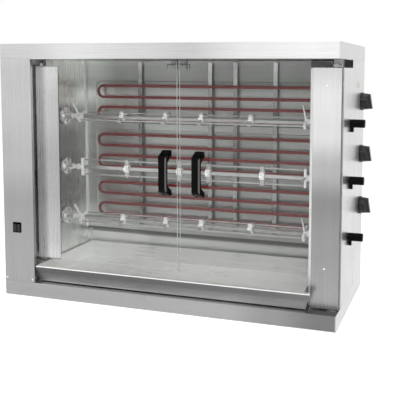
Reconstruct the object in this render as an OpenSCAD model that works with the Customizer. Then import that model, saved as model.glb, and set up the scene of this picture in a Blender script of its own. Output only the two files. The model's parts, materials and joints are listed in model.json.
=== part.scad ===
// Electric skewer grill: a steel cabinet with three driven spits in front of three banks of
// tubular heaters, two glass doors, a drip tray that slides out, and its drive in the left column.
// X runs from left to right, Y from front to rear and Z upwards, from the middle of the underside.

/* [Cabinet] */
// Width of the cabinet, without the knobs and grips on its right side
cabinet_w = 1098; // [1060:1:1300]
// Depth of the cabinet, without the switch and the screw heads
cabinet_d = 480; // [470:1:560]
// Height of the cabinet
cabinet_h = 820; // [810:1:1000]
// Height of the base with its closing plate
base_h = 47; // [35:1:48]
// Height of the top cover's skirt
cover_h = 47; // [35:1:55]
// Thickness of the cabinet's steel sheet
sheet = 1.5; // [1:0.1:2]
// Thickness of the closing plate under the base
floor_t = 2; // [1.5:0.1:4]
// Distance of the rear panel from the cabinet's rear edge
rear_inset = 14; // [12:1:20]

/* [Motor column] */
// Width of the column's front panel
column_w = 111; // [107:1:112]
// Depth of the return fold at the panel's inner edge
column_fold = 12; // [8:1:20]
// Distance from the cabinet's left side to the column's hinge wall
hinge_wall_in = 88; // [80:1:90]

/* [Cooking chamber] */
// Distance from the cabinet's left side to the chamber's left wall
chamber_left_in = 108; // [104:1:110]
// Distance from the cabinet's right side to the chamber's right wall
chamber_right_in = 97; // [92:1:102]
// Distance from the cabinet's front to the chamber's rear wall
chamber_d = 350; // [345:1:370]
// Distance from the cabinet's front to the columns' faces behind the doors
column_face_in = 72; // [71:1:80]
// Height of the step where the rear wall moves back over the tray
rear_step_z = 160; // [150:1:170]
// How far the rear wall moves back at that step
rear_step_d = 30; // [30:1:40]
// Depth of the pressed panels behind the heaters
emboss_d = 5; // [3:0.5:10]

/* [Doors] */
// Distance from the cabinet's front to the door stiles' faces
door_setback = 44; // [44:1:46]
// Width of a door stile
stile_w = 82; // [70:1:84]
// Depth of a door stile
stile_d = 15; // [14:1:16]
// Thickness of a glass pane
pane_t = 5; // [4:0.5:6]
// Gap between the two doors
seam_gap = 8; // [3:0.5:10]
// Distance from the cabinet's left side to the left door
left_door_in = 101; // [100:1:102]
// Distance from the cabinet's right side to the right door
right_door_in = 2; // [1:0.5:3]
// Height of the left stile's lower end, over the tray's lip
left_stile_z = 122; // [120:1:150]
// Height of the right stile's lower end, over the base
right_stile_z = 50; // [50:1:70]
// Gap between the stiles and the top cover
stile_top_gap = 25; // [20:1:40]
// Height of the panes' lower edges
pane_z = 120; // [116:1:120]
// Gap between the panes and the top cover
pane_top_gap = 7; // [5:1:12]
// Distance from a stile's outer edge to its hinge pins
hinge_in = 18; // [16:0.5:18]
// Distance from a stile's face to its hinge pins
hinge_back = 6; // [5.5:0.1:6.5]
// Diameter of the hinge pins
hinge_pin_d = 6; // [4:0.5:7]

/* [Door handles] */
// Length of a handle between the outer ends of its feet
handle_h = 140; // [110:1:180]
// Width of a handle
handle_w = 28; // [18:1:32]
// How far a handle stands out from the glass
handle_reach = 44; // [35:1:45]
// Thickness of a handle's bow
handle_t = 14; // [8:0.5:16]
// Height of the handles' middle
handle_z = 425; // [300:1:550]
// Distance from the left door's free edge to its handle's middle
left_handle_in = 32; // [25:1:90]
// Distance from the right door's free edge to its handle's middle
right_handle_in = 68; // [25:1:90]

/* [Spits] */
// Distance between two spits, which is also the pitch diameter of their gears
spit_pitch = 174; // [168:1:178]
// Height of the lowest spit
spit_low_z = 233; // [225:1:240]
// Distance from the cabinet's front to the spits
spit_in = 195; // [190:1:205]
// Side of a skewer's square bar
skewer_bar = 11; // [8:1:12]
// Diameter of a skewer's two side rods
skewer_rod_d = 5; // [4:0.5:6]
// Distance between a skewer's two side rods
skewer_rods = 50; // [40:1:56]
// Diameter of a drive shaft
shaft_d = 16; // [12:1:18]
// Diameter of the drive discs on the chamber's left wall
disc_d = 58; // [54:1:70]
// Angle at which the upper and the lower skewer stand
skewer_lean = 27; // [0:1:90]

/* [Gears] */
// Number of teeth on a spit's gear, twice an odd number
gear_teeth = 58; // [50:4:66]
// Number of teeth on the motor's pinion
pinion_teeth = 20; // [16:1:24]
// Width of the gears
gear_t = 10; // [8:1:12]
// Play between two meshing teeth
gear_play = 0.5; // [0.3:0.05:0.8]

/* [Heaters] */
// Diameter of a heater tube
tube_d = 10; // [7:0.5:11]
// Distance between the two runs of one hairpin
hairpin_w = 40; // [30:1:42]
// Distance between the middles of a bank's two hairpins
hairpin_pitch = 76; // [68:1:80]
// Height of a bank's middle over its spit
bank_rise = 43; // [38:1:46]
// Distance from the rear wall to the middle of the tubes
tube_stand = 18; // [15:1:25]
// Distance from the chamber's left wall to the hairpins' bends
tube_in = 55; // [30:1:90]

/* [Drip tray] */
// Height of the tray's rim
tray_rim_z = 104; // [90:1:106]
// Height of the tray's underside
tray_z = 50; // [49:0.5:52]
// Distance from the tray's sides to the chamber's walls
tray_side_gap = 8; // [6:1:10]
// How far the tray's front wall leans out
tray_lean = 24; // [10:1:24]
// Distance from the tray's rear wall to the lower rear panel
tray_rear_gap = 22; // [8:1:30]
// How far the tray's lip reaches past its right end
lip_over = 27; // [10:1:28]

/* [Controls] */
// Diameter of a knob
knob_d = 59; // [40:1:64]
// How far a knob stands out at its foot
knob_l = 38; // [32:1:45]
// Slant of a knob's face
knob_slant = 9; // [0:1:12]
// Height of a knob over its spit
knob_rise = 57; // [50:1:65]
// Distance from the cabinet's rear to the knobs
knob_in = 58; // [45:1:75]
// Diameter of the release pins and of the skewers' stubs in front of them
pin_d = 12; // [8:0.5:12]
// Diameter of the release grips
grip_d = 25; // [20:1:30]
// Length of a release grip
grip_l = 44; // [30:1:50]
// Width of the twin switch
switch_w = 30; // [28:1:36]
// Height of the twin switch
switch_h = 34; // [32:1:40]
// Height of the switch's middle
switch_z = 226; // [120:1:500]

/* [Hidden] */
$fn = 48;

steel = "silver";
bright = "gainsboro";
black = "dimgray";
glow = "firebrick";

// Clearances: between two bodies, of a turning fit, of a loose hole; and a cut's reach past a face
gap = 0.3;
run = 0.05;
loose = 0.2;
past = 1;

// Faces of the cabinet
x_left = -cabinet_w / 2;
x_right = cabinet_w / 2;
y_front = -cabinet_d / 2;
y_rear = cabinet_d / 2;
y_back = y_rear - rear_inset - sheet;
roof_z = cabinet_h - cover_h;
ceiling_z = roof_z - sheet;
rear_fold = 14;

// Faces of the chamber
x_column = x_left + column_w;
x_hinge_wall = x_left + hinge_wall_in;
x_chamber_l = x_left + chamber_left_in;
x_chamber_r = x_right - chamber_right_in;
y_rear_wall = y_front + chamber_d;
y_low_wall = y_rear_wall + rear_step_d;
y_face = y_front + column_face_in;

// Doors: the hinge axes, and each door's reach from its axis to its free edge
door_l = x_left + left_door_in;
door_r = x_right - right_door_in;
door_w = (door_r - door_l - seam_gap) / 2;
free_edge = door_w - hinge_in;
y_door = y_front + door_setback;
y_hinge = y_door + hinge_back;
x_hinge_l = door_l + hinge_in;
x_hinge_r = door_r - hinge_in;
stile_top = roof_z - stile_top_gap;
pane_top = roof_z - pane_top_gap;
pane_y0 = sheet + loose - hinge_back;
pane_y1 = pane_y0 + pane_t;
pane_start = 11;
lug_h = 6;
lug_end = pane_start - 2;
strip_t = 2.5;
strip_in = 12;
stile_screw_x = 25;
stile_screw_z = [left_stile_z + 46, stile_top - 50];
strike_w = 34;
strike_h = 19;
strike_drop = 8;
strike_leg = 4;
magnet_w = 18;
magnet_t = 12;
left_handle_x = free_edge - left_handle_in;
right_handle_x = free_edge - right_handle_in;

// Spits, from the lowest to the highest
y_spit = y_front + spit_in;
spit_z = [for (i = [0:2]) spit_low_z + i * spit_pitch];
skewer_angle = [skewer_lean, 90, skewer_lean];
clamp_x = [[-214, -56, 69, 236], [-199, -8, 92, 274], [-214, -56, 69, 236]];
x_disc = x_chamber_l + 5;
disc_t = 8;
hub_l = 24;
socket_l = 14;
x_hub = x_disc + disc_t + hub_l;
x_socket = x_hub - socket_l;
x_lever = x_hub + 22;
x_end_plate = x_lever + 12;
end_plate_t = 8;
end_plate_w = 16;
x_spike = x_chamber_r - 34;
x_stub = x_chamber_r + 2;
shoulder_l = 10;
shoulder_r = pin_d / 2 + 5;

// Gears
gear_m = spit_pitch / gear_teeth;
pinion_r = gear_m * pinion_teeth / 2;
y_pinion = y_spit + spit_pitch / 2 + pinion_r;
x_gear = x_chamber_l - 49;
x_web = x_gear - 13;
web_t = 3;
case_room = 2 * gear_m;
case_end = 10;
case_front = y_spit - spit_pitch / 2 - case_room - web_t;
case_rear = y_pinion + pinion_r + case_room + web_t;
motor_shaft_r = 5;
motor_x = (x_left + sheet + x_web) / 2;

// Heaters
y_tube = y_rear_wall - tube_stand;
bank_z = [for (z = spit_z) z + bank_rise];
tube_rows = [for (h = [-1, 1]) for (r = [-1, 1]) h * hairpin_pitch / 2 + r * hairpin_w / 2];
x_bend = x_chamber_l + tube_in + hairpin_w / 2 + tube_d / 2;
tube_tail = 26;
emboss_in = 40;
emboss_h = hairpin_pitch + hairpin_w + 36;
emboss_r = 22;
strap_x = [-219, 45, 136, 276];
strap_w = 14;
strap_t = 3;
strap_foot = 10;
strap_drop = 6;
hook_w = 6;
hook_t = 1.2;
corner_flange = 12;

// Drip tray
tray_l = x_chamber_l + tray_side_gap;
tray_r = x_chamber_r - tray_side_gap + 4;
tray_rear = y_low_wall - tray_rear_gap;
tray_lip = 14;
lip_drop = 4;
lip_r = tray_r + lip_over - 3;
runner_w = 16;
runner_in = 12;
runner_front = 20;

// Controls
y_knob = y_rear - knob_in;
knob_z = [for (z = spit_z) z + knob_rise];
knob_foot = 8;
knob_shaft_r = 3;
y_lamp = y_knob - 74;
lamp_drop = 79;
lamp_z = roof_z - lamp_drop;
lamp_r = 8;
control_d = 204;
y_panel_seam = y_rear - control_d;
seam_strip = 22;
side_slot_l = 34;
side_slot_z = base_h + 110;
foot_screw_z = [base_h + 134, base_h + 80, base_h + 72];
foot_screw_y = 11;
top_screw_z = roof_z - 20;
top_screw_y = 30;
grip_gap = 0.5;
collar_x = x_chamber_r + 30;
bush_wall = 4;
bush_l = 9;
x_switch = x_column - 62;
switch_d = 24;
switch_rim = 1.2;
rocker_w = 11;
rocker_h = 26;
rocker_tilt = 6;
rocker_x = [-rocker_w / 2 - 1.4, rocker_w / 2 + 1.4];
rocker_side = 0.4;
pocket_h = rocker_h / 2 + 1;
y_rocker = y_front + 5;
trunnion_r = 1.5;
trunnion_l = 1;
screw_r = 3.5;
shank_r = 1.8;

// ---------------------------------------------------------------- shared shapes

// Box between two corners
module box(a, b) translate(a) cube(b - a);

// Cylinder along X, from x0 to x1
module rod_x(x0, x1, r) translate([x0, 0, 0]) rotate([0, 90, 0]) cylinder(h = x1 - x0, r = r);

// Cylinder along Y, from y0 to y1
module rod_y(y0, y1, r) translate([0, y1, 0]) rotate([90, 0, 0]) cylinder(h = y1 - y0, r = r);

// A flat shape in Y and Z, drawn out along X from x0 to x1
module along_x(x0, x1) translate([x0, 0, 0]) rotate([90, 0, 90]) linear_extrude(x1 - x0) children();

// A flat shape in X and Z, drawn out along Y from y0 to y1
module along_y(y0, y1) translate([0, y1, 0]) rotate([90, 0, 0]) linear_extrude(y1 - y0) children();

// Outline of a folded sheet: a path, and the same path moved by the sheet's thickness to its left
function step_dir(a, b) = (b - a) / norm(b - a);
function left_of(d) = [-d[1], d[0]];
function fold_shift(p, i) =
    i == 0 ? left_of(step_dir(p[0], p[1])) :
    i == len(p) - 1 ? left_of(step_dir(p[i - 1], p[i])) :
    let (a = left_of(step_dir(p[i - 1], p[i])), b = left_of(step_dir(p[i], p[i + 1])))
    (a + b) / (1 + a * b);
function folded(p, t) = concat(p, [for (i = [len(p) - 1:-1:0]) p[i] + t * fold_shift(p, i)]);
module sheet_path(p, t = sheet) polygon(folded(p, t));

// Rectangle with round corners, from its middle
module round_rect(w, h, r) {
    square([w - 2 * r, h], center = true);
    square([w, h - 2 * r], center = true);
    for (x = [-1, 1], y = [-1, 1]) translate([x * (w / 2 - r), y * (h / 2 - r)]) circle(r);
}

// Box open below, with walls of the cabinet's sheet
module lid_shell(z0, z1) difference() {
    box([x_left, y_front, z0], [x_right, y_rear, z1]);
    box([x_left + sheet, y_front + sheet, z0 - past], [x_right - sheet, y_rear - sheet, z1 - sheet]);
}

// Domed screw head on a face that looks along +Z, with its shank below
module screw(shank = sheet + 1) {
    cylinder(h = 1, r = screw_r);
    translate([0, 0, 1]) cylinder(h = 1.2, r1 = screw_r, r2 = screw_r * 0.6);
    translate([0, 0, -shank]) cylinder(h = shank, r = shank_r);
}

// Hole for such a screw
module screw_hole(l) translate([0, 0, -l]) cylinder(h = l + past, r = shank_r + loose);

// ---------------------------------------------------------------- cabinet

// Rows of slots that let cool air into the two side columns
floor_slot_w = 6;
floor_slot_l = cabinet_d - 280;
floor_slot_r = 2.8;
floor_slot_in = 24;
floor_slot_pitch = 14;
module floor_slots() for (i = [0:4], s = [-1, 1])
    translate([s * (cabinet_w / 2 - floor_slot_in - i * floor_slot_pitch), 0, -past])
        linear_extrude(floor_t + 2 * past) round_rect(floor_slot_w, floor_slot_l, floor_slot_r);

module base_bottom() color(steel) difference() {
    box([x_left, y_front, 0], [x_right, y_rear, floor_t]);
    floor_slots();
}

module base_pan() color(steel) lid_shell(floor_t, base_h);

module top_cover() color(steel) lid_shell(roof_z, cabinet_h);

module left_side_panel() color(steel) translate([0, 0, base_h]) linear_extrude(roof_z - base_h)
    sheet_path([[x_left + rear_fold, y_rear], [x_left, y_rear], [x_left, y_front + sheet]]);

// Where the two screws at the column panel's foot sit
module column_screw_places() for (x = [x_left + 7, x_column - 8])
    translate([x, y_front, base_h + 10]) rotate([90, 0, 0]) children();

module column_front_panel() color(steel) difference() {
    translate([0, 0, base_h]) linear_extrude(roof_z - base_h)
        sheet_path([[x_left, y_front], [x_column, y_front], [x_column, y_front + column_fold]]);
    column_screw_places() screw_hole(sheet + past);
    at_switch() along_y(y_front - past, y_front + sheet + past)
        square([switch_w - 2 * switch_rim + gap, switch_h - 2 * switch_rim + gap], center = true);
}

module chamber_left_wall() color(bright) difference() {
    translate([0, 0, base_h]) linear_extrude(ceiling_z - base_h)
        sheet_path([[x_hinge_wall, y_front + sheet], [x_hinge_wall, y_face],
            [x_chamber_l, y_face], [x_chamber_l, y_back]]);
    for (i = [0:2]) at_spit(i) rod_x(x_chamber_l - 10, x_chamber_l + past, shaft_d / 2 + 3 + loose);
}

module chamber_right_wall() color(bright) difference() {
    translate([0, 0, base_h]) linear_extrude(ceiling_z - base_h)
        sheet_path([[x_chamber_r, y_back], [x_chamber_r, y_face], [x_right - sheet, y_face]]);
    for (i = [0:2]) at_spit(i) rod_x(x_chamber_r - past, x_chamber_r + 10, pin_d / 2 + bush_wall + loose);
    for (z = bank_z, dz = tube_rows) translate([0, y_tube, z + dz])
        rod_x(x_chamber_r - past, x_chamber_r + 10, tube_d / 2 + loose);
}

// Outline of one pressed panel behind a heater bank
module emboss_shape(inset) translate([(x_chamber_l + emboss_in + x_chamber_r - emboss_in / 2) / 2, 0])
    round_rect(x_chamber_r - x_chamber_l - 1.5 * emboss_in - 2 * inset, emboss_h - 2 * inset,
        emboss_r - inset);

module chamber_rear_wall() color(bright) {
    difference() {
        along_x(x_chamber_l, x_chamber_r)
            sheet_path([[y_rear_wall, ceiling_z], [y_rear_wall, rear_step_z],
                [y_low_wall, rear_step_z], [y_low_wall, base_h]]);
        for (z = bank_z) translate([0, 0, z])
            along_y(y_rear_wall - past, y_rear_wall + sheet + past) emboss_shape(0);
    }
    for (z = bank_z) translate([0, 0, z]) difference() {
        along_y(y_rear_wall, y_rear_wall + emboss_d + sheet) emboss_shape(0);
        along_y(y_rear_wall - past, y_rear_wall + emboss_d) emboss_shape(sheet);
    }
    box([x_chamber_l, y_rear_wall - corner_flange, rear_step_z],
        [x_chamber_l + sheet, y_rear_wall + sheet / 2, ceiling_z]);
}

// Notched at the front for the fold of the column's front panel
module chamber_ceiling() color(bright) difference() {
    box([x_left + sheet, y_front + sheet, ceiling_z], [x_right - sheet, y_back, roof_z]);
    box([x_column - sheet - gap, y_front, ceiling_z - past],
        [x_column + gap, y_front + column_fold + gap, roof_z + past]);
}

// Cooling slots of the rear panel, low and high behind each side column
module rear_slots() for (x = [x_left + 55, x_right - 50], z0 = [base_h + 60, ceiling_z - 130],
    i = [0:5]) translate([x, 0, z0 + i * 12])
    along_y(y_back - past, y_back + sheet + past) round_rect(70, 5, 2.3);

module at_gland() translate([x_left + 55, y_back + sheet, base_h + 30]) children();

module rear_panel() color(steel) difference() {
    box([x_left + sheet, y_back, base_h], [x_right - sheet, y_back + sheet, roof_z]);
    rear_slots();
    at_gland() rod_y(-5, past, 8 + loose);
}

// Where the small screws sit on the right side: three at the seam's foot and one at the top
module side_screw_places() {
    for (z = foot_screw_z)
        translate([x_right, y_panel_seam + foot_screw_y, z]) rotate([0, 90, 0]) children();
    translate([x_right, y_panel_seam + top_screw_y, top_screw_z]) rotate([0, 90, 0]) children();
}

// The side panel steps down where the door's stile swings under the cover
side_step = 42;
module right_side_panel() color(steel) difference() {
    along_x(x_right - sheet, x_right) polygon([[y_face, base_h], [y_panel_seam, base_h],
        [y_panel_seam, roof_z], [y_panel_seam - side_step, roof_z],
        [y_panel_seam - side_step, stile_top], [y_face, stile_top]]);
    for (i = [0:2]) at_spit(i) rod_x(x_right - 5, x_right + past, pin_d / 2 + 1);
    translate([0, y_panel_seam - 26, side_slot_z]) along_x(x_right - 5, x_right + past)
        round_rect(4, side_slot_l, 1.9);
}

module control_panel() color(steel) difference() {
    translate([0, 0, base_h]) linear_extrude(roof_z - base_h)
        sheet_path([[x_right, y_panel_seam + gap], [x_right, y_rear], [x_right - rear_fold, y_rear]]);
    box([x_right - sheet / 2, y_panel_seam + seam_strip, base_h - past],
        [x_right + past, y_panel_seam + seam_strip + 2, roof_z + past]);
    for (i = [0:2]) at_knob(i) rod_x(-5, past, knob_shaft_r + 2);
    at_lamp() rod_x(-5, past, lamp_r);
    side_screw_places() screw_hole(5);
}

module tray_runners() color(steel) for (x = [tray_l + runner_in, tray_r - runner_in - runner_w])
    box([x, y_front + tray_lean + runner_front, base_h], [x + runner_w, tray_rear, tray_z - gap]);

module panel_screws() color(bright) {
    column_screw_places() screw();
    side_screw_places() screw();
}

module cable_gland() color(black) at_gland() difference() {
    union() {
        rod_y(-16, 0, 8);
        rod_y(0, 4, 11);
        translate([0, 4, 0]) rotate([-90, 0, 0]) cylinder(h = 7, r1 = 10, r2 = 7);
    }
    rod_y(-20, 20, 4);
}

// ---------------------------------------------------------------- doors

// Shapes of one door lie with X from its hinge axis to its free edge, and Y from that axis back
module on_left_door() translate([x_hinge_l, y_hinge, 0]) children();
module on_right_door() translate([x_hinge_r, y_hinge, 0]) mirror([1, 0, 0]) children();

module stile_screw_places() for (z = stile_screw_z)
    translate([stile_screw_x, -hinge_back, z]) rotate([90, 0, 0]) children();

// Places of the screws that hold a handle, for a handle at x
handle_foot = 18;
module handle_screw_places(x) for (s = [-1, 1])
    translate([x, pane_y1, handle_z + s * (handle_h - handle_foot) / 2])
        rotate([-90, 0, 0]) children();

// Folded stile with a lug for the hinge pin in each end
module stile(z0) color(steel) difference() {
    union() {
        translate([0, 0, z0]) linear_extrude(stile_top - z0)
            sheet_path([[-hinge_in, stile_d - hinge_back], [-hinge_in, -hinge_back],
                [stile_w - hinge_in, -hinge_back]]);
        for (z = [z0, stile_top - lug_h])
            box([sheet / 2 - hinge_in, sheet / 2 - hinge_back, z],
                [lug_end, stile_d - hinge_back, z + lug_h]);
    }
    translate([0, 0, z0 - past]) cylinder(h = stile_top - z0 + 2 * past, r = hinge_pin_d / 2 + run);
    stile_screw_places() screw_hole(5);
}

module pane(handle_x) color("lightcyan", 0.4) difference() {
    box([pane_start, pane_y0, pane_z], [free_edge, pane_y1, pane_top]);
    stile_screw_places() translate([0, 0, -20]) cylinder(h = 30, r = shank_r + 1);
    handle_screw_places(handle_x) translate([0, 0, -20]) cylinder(h = 30, r = 3);
}

// Bow handle: two sloping legs and a straight grip, drawn in Y and Z and drawn out along X
handle_slope = 19;
module handle_side() {
    y1 = pane_y0 - handle_reach;
    half = handle_h / 2;
    grip = half - handle_slope;
    inner = grip - handle_t;
    back = y1 + handle_t;
    foot = half - handle_foot;
    difference() {
        polygon([[pane_y0, -half], [pane_y0, half], [pane_y0 - 8, half], [y1 + 4, grip + 3],
            [y1, grip - 3], [y1, 3 - grip], [y1 + 4, -grip - 3], [pane_y0 - 8, -half]]);
        polygon([[pane_y0 + 1, -foot], [pane_y0 + 1, foot], [pane_y0 - 5, foot],
            [back + 2, inner], [back, inner - 6], [back, 6 - inner], [back + 2, -inner],
            [pane_y0 - 5, -foot]]);
    }
}

// The bow narrows towards its front, so that both edges are bevelled
module handle(handle_x) color(black) difference() {
    translate([handle_x, 0, handle_z]) intersection() {
        along_x(-handle_w / 2, handle_w / 2) handle_side();
        translate([0, 0, -handle_h / 2]) linear_extrude(handle_h) polygon([[-handle_w / 2, pane_y0],
            [-handle_w / 2, pane_y0 - handle_reach + 5], [-handle_w / 2 + 5, pane_y0 - handle_reach],
            [handle_w / 2 - 5, pane_y0 - handle_reach], [handle_w / 2, pane_y0 - handle_reach + 5],
            [handle_w / 2, pane_y0]]);
    }
    handle_screw_places(handle_x) translate([0, 0, -pane_t - 12]) cylinder(h = 30, r = 2 + loose);
}

// The strip that clamps the pane into its stile, and the strike plate at the pane's upper corner
module door_fittings() color(bright) {
    difference() {
        box([pane_start + 2, pane_y1, left_stile_z + strip_in],
            [stile_w - hinge_in - sheet - 1, pane_y1 + strip_t, stile_top - strip_in]);
        stile_screw_places() screw_hole(20);
    }
    top = pane_top - strike_drop;
    difference() {
        box([free_edge - strike_w, pane_y1, top - strike_h], [free_edge, pane_y1 + sheet, top]);
        box([free_edge - strike_w + strike_leg, pane_y1 - past, top - strike_h - past],
            [free_edge + past, pane_y1 + sheet + past, top - strike_leg]);
    }
}

module door_screws(handle_x) color(bright) {
    through = hinge_back + pane_y1 + strip_t;
    stile_screw_places() {
        screw(through + 2);
        translate([0, 0, -through - 3]) cylinder(h = 3, r = 4, $fn = 6);
    }
    handle_screw_places(handle_x) {
        cylinder(h = 2.5, r = 6);
        translate([0, 0, -pane_t - 10]) cylinder(h = pane_t + 10, r = 2);
    }
}

// Upper pivot: a plate hung from the ceiling, with its pin pointing down into the stile's lug
module upper_pivot(reach) {
    plate_z = stile_top + 2;
    box([-reach, -9, plate_z], [0, 14, plate_z + 4]);
    box([-reach, 0, plate_z], [lug_end, 14, plate_z + 4]);
    box([-reach, 11, plate_z], [lug_end, 14, ceiling_z]);
    translate([0, 0, plate_z]) cylinder(h = 9, r = lug_end);
    translate([0, 0, stile_top - lug_h]) cylinder(h = lug_h + 3, r = hinge_pin_d / 2);
}

// Lower left pivot: a shelf on the column's hinge wall, with its pin pointing up
module shelf_pivot(z0, reach) {
    box([-reach, -9, z0 - 9], [10, 12, z0 - 5]);
    translate([0, 0, z0 - 6]) cylinder(h = 6 - gap, r = 6);
    translate([0, 0, z0 - 1]) cylinder(h = lug_h, r = hinge_pin_d / 2);
}

// Lower right pivot: a foot on the base, with its pin pointing up
module foot_pivot(z0) {
    box([-14, -12, base_h], [14, 14, z0 - 1.2]);
    translate([0, 0, z0 - 1.5]) cylinder(h = 1.5 - gap, r = 6);
    translate([0, 0, z0 - 1]) cylinder(h = lug_h, r = hinge_pin_d / 2);
}

module hinge_brackets() color(steel) {
    on_left_door() {
        upper_pivot(x_hinge_l - x_hinge_wall);
        shelf_pivot(left_stile_z, x_hinge_l - x_hinge_wall);
    }
    on_right_door() {
        upper_pivot(hinge_in);
        foot_pivot(right_stile_z);
    }
}

// Magnets under the ceiling that hold the doors' strike plates
module door_magnets() color(black) for (s = [-1, 1])
    translate([x_hinge_l + free_edge + seam_gap / 2 + s * (seam_gap / 2 + 3 + magnet_w / 2), y_hinge, 0])
        box([-magnet_w / 2, pane_y1 + sheet + gap, pane_top - strike_drop - strike_h + 3],
            [magnet_w / 2, pane_y1 + sheet + gap + magnet_t, ceiling_z]);

// ---------------------------------------------------------------- spits and their drive

// Half the angle that a gear's tooth takes up at radius r, from an involute of 20 degrees
function inv(a) = tan(a) * 180 / PI - a;
function half_tooth(n, r) =
    let (pitch_r = gear_m * n / 2, a = acos(min(1, pitch_r * cos(20) / r)))
    90 / n - gear_play / (2 * pitch_r) * 180 / PI + inv(20) - inv(a);
function gear_outline(n) =
    let (pitch_r = gear_m * n / 2, radii = [pitch_r - 1.25 * gear_m, pitch_r, pitch_r + 0.9 * gear_m])
    [for (i = [0:n - 1]) for (s = [-1, 1]) for (k = [0:2])
        let (r = radii[s < 0 ? k : 2 - k], a = i * 360 / n + s * half_tooth(n, r))
        r * [cos(a), sin(a)]];

// Spur gear about the X axis, with a tooth that points up when it is turned by 0
module gear(n, turned) along_x(x_gear, x_gear + gear_t) rotate(90 + turned) polygon(gear_outline(n));

module at_spit(i) translate([0, y_spit, spit_z[i]]) children();

// A spit's gear with its hub and lightening holes; the middle one's gaps meet its neighbours' teeth
module spit_gear(i) difference() {
    union() {
        gear(gear_teeth, i == 1 ? 180 / gear_teeth : 0);
        rod_x(x_gear, x_gear + gear_t + 8, shaft_d);
    }
    rod_x(x_gear - past, x_gear + gear_t + 9, shaft_d / 2 + run);
    for (a = [30:60:330]) rotate([a, 0, 0]) translate([0, spit_pitch * 0.3, 0])
        rod_x(x_gear - past, x_gear + gear_t + past, spit_pitch * 0.1);
}

// Drive shaft with its spoked disc and the socket that takes the skewer, and the gear on it
module spit_drive(i) color(bright) at_spit(i) {
    difference() {
        union() {
            rod_x(x_web - 4, x_disc, shaft_d / 2);
            rod_x(x_disc, x_disc + disc_t, disc_d / 2);
            translate([x_disc + disc_t, 0, 0]) rotate([0, 90, 0])
                cylinder(h = hub_l, r1 = skewer_bar + 3, r2 = skewer_bar);
        }
        for (a = [0:72:288]) rotate([a, 0, 0]) translate([0, disc_d / 2 - 8.5, 0])
            rod_x(x_disc - past, x_disc + disc_t + past, 5.5);
        rotate([skewer_angle[i], 0, 0])
            box([x_socket, -skewer_bar / 2 - loose, -skewer_bar / 2 - loose],
                [x_hub + past, skewer_bar / 2 + loose, skewer_bar / 2 + loose]);
    }
    spit_gear(i);
}

// Thumb lever at a skewer's left end, standing up from the bar
module thumb_lever() translate([x_lever, 0, 0]) {
    box([-6, -9, -9], [6, 9, 9]);
    along_y(-2, 2) polygon([[-3, 8], [4, 8], [1, 34], [-1, 40], [-2, 52], [-9, 52], [-10, 40],
        [-6, 34]]);
}

// Its square left end sits in the drive's socket, and its round stub in the bush of the right wall
module skewer(i) color(bright) at_spit(i) rotate([skewer_angle[i], 0, 0]) {
    box([x_socket + gap, -skewer_bar / 2, -skewer_bar / 2], [x_spike, skewer_bar / 2, skewer_bar / 2]);
    for (x = [x_end_plate, x_spike - end_plate_t])
        box([x, -skewer_rods / 2 - 5, -end_plate_w / 2],
            [x + end_plate_t, skewer_rods / 2 + 5, end_plate_w / 2]);
    for (s = [-1, 1]) translate([0, s * skewer_rods / 2, 0])
        rod_x(x_end_plate + 1, x_spike - 1, skewer_rod_d / 2);
    thumb_lever();
    translate([x_spike - end_plate_t / 2, 0, 6]) rotate([0, -6, 0])
        cylinder(h = 54, r1 = 4.5, r2 = 1);
    rod_x(x_spike - 1, x_spike + shoulder_l, shoulder_r);
    rod_x(x_spike, x_stub, pin_d / 2);
}

// Four cross clamps that slide on a skewer's bar and rods, each with a thumb screw
module skewer_clamps(i) color(bright) at_spit(i) rotate([skewer_angle[i], 0, 0])
    for (x = clamp_x[i]) translate([x, 0, 0]) {
        difference() {
            union() {
                box([-6, -skewer_rods / 2 - 5, -5], [6, skewer_rods / 2 + 5, 5]);
                box([-8, -11, -10], [8, 11, 10]);
            }
            box([-9, -skewer_bar / 2 - loose, -skewer_bar / 2 - loose],
                [9, skewer_bar / 2 + loose, skewer_bar / 2 + loose]);
            for (s = [-1, 1]) translate([0, s * skewer_rods / 2, 0])
                rod_x(-9, 9, skewer_rod_d / 2 + loose);
        }
        translate([0, 0, 10]) cylinder(h = 6, r = 4);
        translate([0, 0, 14]) cylinder(h = 5, r = 7, $fn = 8);
    }

// Bush from x0 to x1 with a flange of 3 mm that starts at x_flange
module bush(x0, x1, r_in, r_out, x_flange, r_flange) difference() {
    union() {
        rod_x(x0, x1, r_out);
        rod_x(x_flange, x_flange + 3, r_flange);
    }
    rod_x(x0 - past, x1 + past, r_in);
}

module spit_bushes() color("peru") for (i = [0:2]) at_spit(i) {
    bush(x_chamber_l - 12, x_chamber_l + 3, shaft_d / 2 + run, shaft_d / 2 + 3, x_chamber_l, 16);
    bush(x_web, x_web + 7, shaft_d / 2 + run, shaft_d / 2 + 3, x_web + web_t, 14);
    bush(x_chamber_r - 3, collar_x - grip_gap, pin_d / 2 + run, pin_d / 2 + bush_wall,
        x_chamber_r - 3, 15);
    bush(x_right - sheet - bush_l, x_right - sheet, pin_d / 2 + run, pin_d / 2 + bush_wall,
        x_right - sheet - 3, 15);
}

// Channel on the chamber's left wall that the gears turn in; it carries the motor on its outside
module gear_case() color(steel) difference() {
    translate([0, 0, spit_z[0] - spit_pitch / 2 - case_end])
        linear_extrude(spit_z[2] - spit_z[0] + spit_pitch + 2 * case_end)
            sheet_path([[x_chamber_l - sheet, case_rear], [x_web, case_rear], [x_web, case_front],
                [x_chamber_l - sheet, case_front]], web_t);
    for (i = [0:2]) at_spit(i) rod_x(x_web - past, x_web + web_t + past, shaft_d / 2 + 3 + loose);
    at_motor() rod_x(x_web - past, x_web + web_t + past, motor_shaft_r + 3);
}

module at_motor() translate([0, y_pinion, spit_z[1]]) children();

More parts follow.
